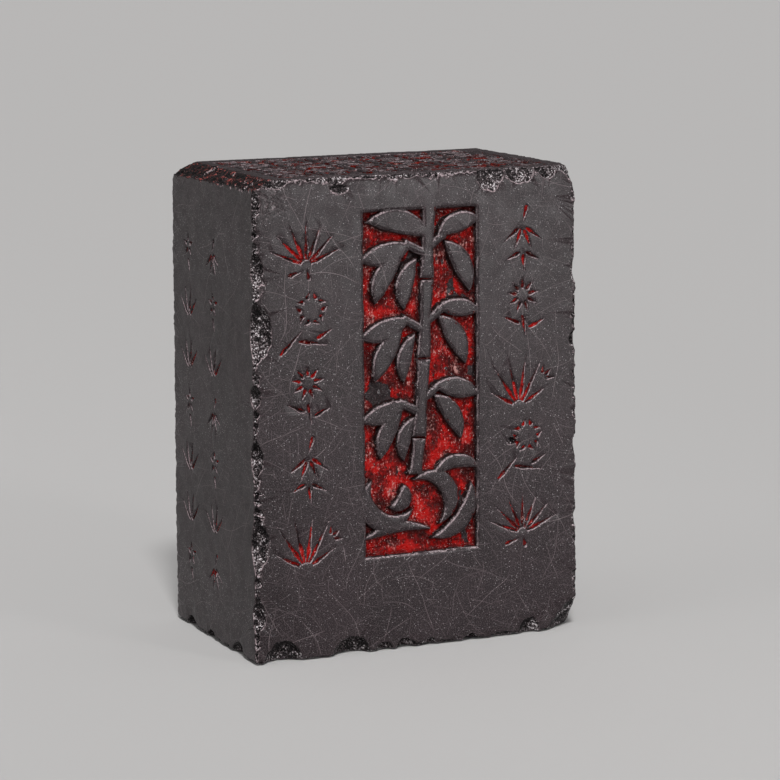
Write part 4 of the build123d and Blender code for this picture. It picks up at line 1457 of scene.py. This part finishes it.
class SEAL_OT_set_stage(bpy.types.Operator):
    """Sets the pale floor, the soft studio lights and the camera"""

    bl_idname = "seal.set_stage"
    bl_label = "Stage"

    def execute(self, context):
        scene, stage = context.scene, context.scene.seal_stage
        angles = np.linspace(0, 2 * math.pi, 96, endpoint=False)
        mesh = bpy.data.meshes.new("stage_floor")
        mesh.from_pydata([(FLOOR_RADIUS * math.cos(a), FLOOR_RADIUS * math.sin(a), -FLOOR_DROP) for a in angles], [],
                         [list(range(len(angles)))])
        floor = bpy.data.objects.new("stage_floor", mesh)
        scene.collection.objects.link(floor)
        material = bpy.data.materials.new("Pale floor")
        material.use_nodes = True
        shader = material.node_tree.nodes["Principled BSDF"]
        shader.inputs["Base Color"].default_value = colour(stage.floor_colour)
        shader.inputs["Roughness"].default_value = 0.9
        shader.inputs["Specular IOR Level"].default_value = 0.1
        mesh.materials.append(material)
        set_world(stage)
        add_sun("Top light", SUN_WAY, SUN_SPREAD, stage.top_strength)
        add_light("Front light", FRONT_LIGHT_PLACE, FRONT_LIGHT_SIZE, stage.front_power, FRONT_LIGHT_BEAM)
        add_light("Side light", SIDE_LIGHT_PLACE, SIDE_LIGHT_SIZE, stage.side_power)
        add_camera(scene)
        scene.view_settings.view_transform = "Standard"
        return {"FINISHED"}


def set_world(stage):
    """A pale backdrop for the camera and for reflections, and a weaker light from all round."""
    world = bpy.data.worlds.new("Pale backdrop")
    bpy.context.scene.world = world
    world.use_nodes = True
    world.node_tree.nodes.clear()
    wires = Wires(world.node_tree)
    rays = wires.add("LightPath").outputs
    seen = wires.larger(wires.larger(rays["Is Camera Ray"], rays["Is Glossy Ray"]), rays["Is Transmission Ray"])
    pale = wires.add("Background", {"Color": colour(stage.floor_colour), "Strength": 1.0})
    fill = wires.add("Background", {"Color": (1, 1, 1, 1), "Strength": stage.fill})
    both = wires.add("MixShader", {0: seen, 1: fill.outputs[0], 2: pale.outputs[0]})
    wires.add("OutputWorld", {"Surface": both.outputs[0]})


def add_lamp(name, light, place, towards):
    """A lamp at this place whose light goes this way."""
    lamp = bpy.data.objects.new(name, light)
    bpy.context.scene.collection.objects.link(lamp)
    back = -towards / np.linalg.norm(towards)
    right = np.cross((0, 0, 1), back)
    right /= np.linalg.norm(right)
    turn = Matrix(np.column_stack([right, np.cross(back, right), back]).tolist())
    lamp.matrix_world = Matrix.Translation(place) @ turn.to_4x4()


def add_light(name, place, size, power, beam=180):
    """A soft square light that points at the middle of the block, in a beam this many degrees wide."""
    light = bpy.data.lights.new(name, "AREA")
    light.shape, light.size, light.size_y = "RECTANGLE", size, size
    light.energy, light.spread = power, math.radians(beam)
    add_lamp(name, light, place, np.array([0, 0, CROWN.z / 2]) - np.array(place))


def add_sun(name, way, spread, strength):
    """An even light from far off, as soft as a sky patch this many degrees across."""
    light = bpy.data.lights.new(name, "SUN")
    light.energy, light.angle = strength, math.radians(spread)
    add_lamp(name, light, way, -np.array(way))


def add_camera(scene):
    """The camera of the photograph: left of the front, a little above, with a long lens."""
    data = bpy.data.cameras.new("Camera")
    data.lens, data.sensor_width = CAMERA_LENS, CAMERA_SENSOR
    data.clip_start, data.clip_end = 0.01, 30.0
    camera = bpy.data.objects.new("Camera", data)
    scene.collection.objects.link(camera)
    camera.matrix_world = Matrix.Translation(CAMERA_PLACE) @ Matrix(CAMERA_AXES).transposed().to_4x4()
    scene.camera = camera


class SEAL_PT_sidebar(bpy.types.Panel):
    """Lists the pieces of the seal"""

    bl_label = "Seal stamp"
    bl_space_type = "VIEW_3D"
    bl_region_type = "UI"
    bl_category = "Seal"

    def draw(self, context):
        for operator in OPERATORS:
            self.layout.operator(operator.bl_idname)
        for group in SETTINGS:
            settings = getattr(context.scene, group)
            box = self.layout.box()
            for name in settings.__annotations__:
                box.prop(settings, name)


SETTINGS = {"seal_block": SealBlockSettings, "seal_carving": SealCarvingSettings,
            "seal_pigment": SealPigmentSettings, "seal_stage": SealStageSettings}
OPERATORS = (SEAL_OT_carve_stone, SEAL_OT_fill_panel, SEAL_OT_fill_columns, SEAL_OT_press_paste, SEAL_OT_set_stage)


def register():
    for cls in (*SETTINGS.values(), *OPERATORS, SEAL_PT_sidebar):
        bpy.utils.register_class(cls)
    for name, cls in SETTINGS.items():
        setattr(bpy.types.Scene, name, PointerProperty(type=cls))


def unregister():
    for name in SETTINGS:
        delattr(bpy.types.Scene, name)
    for cls in (SEAL_PT_sidebar, *reversed(OPERATORS), *reversed(SETTINGS.values())):
        bpy.utils.unregister_class(cls)


def main():
    register()
    bpy.ops.seal.carve_stone()
    bpy.ops.seal.fill_panel()
    bpy.ops.seal.fill_columns()
    bpy.ops.seal.press_paste()
    bpy.ops.seal.set_stage()


if __name__ == "__main__":
    main()
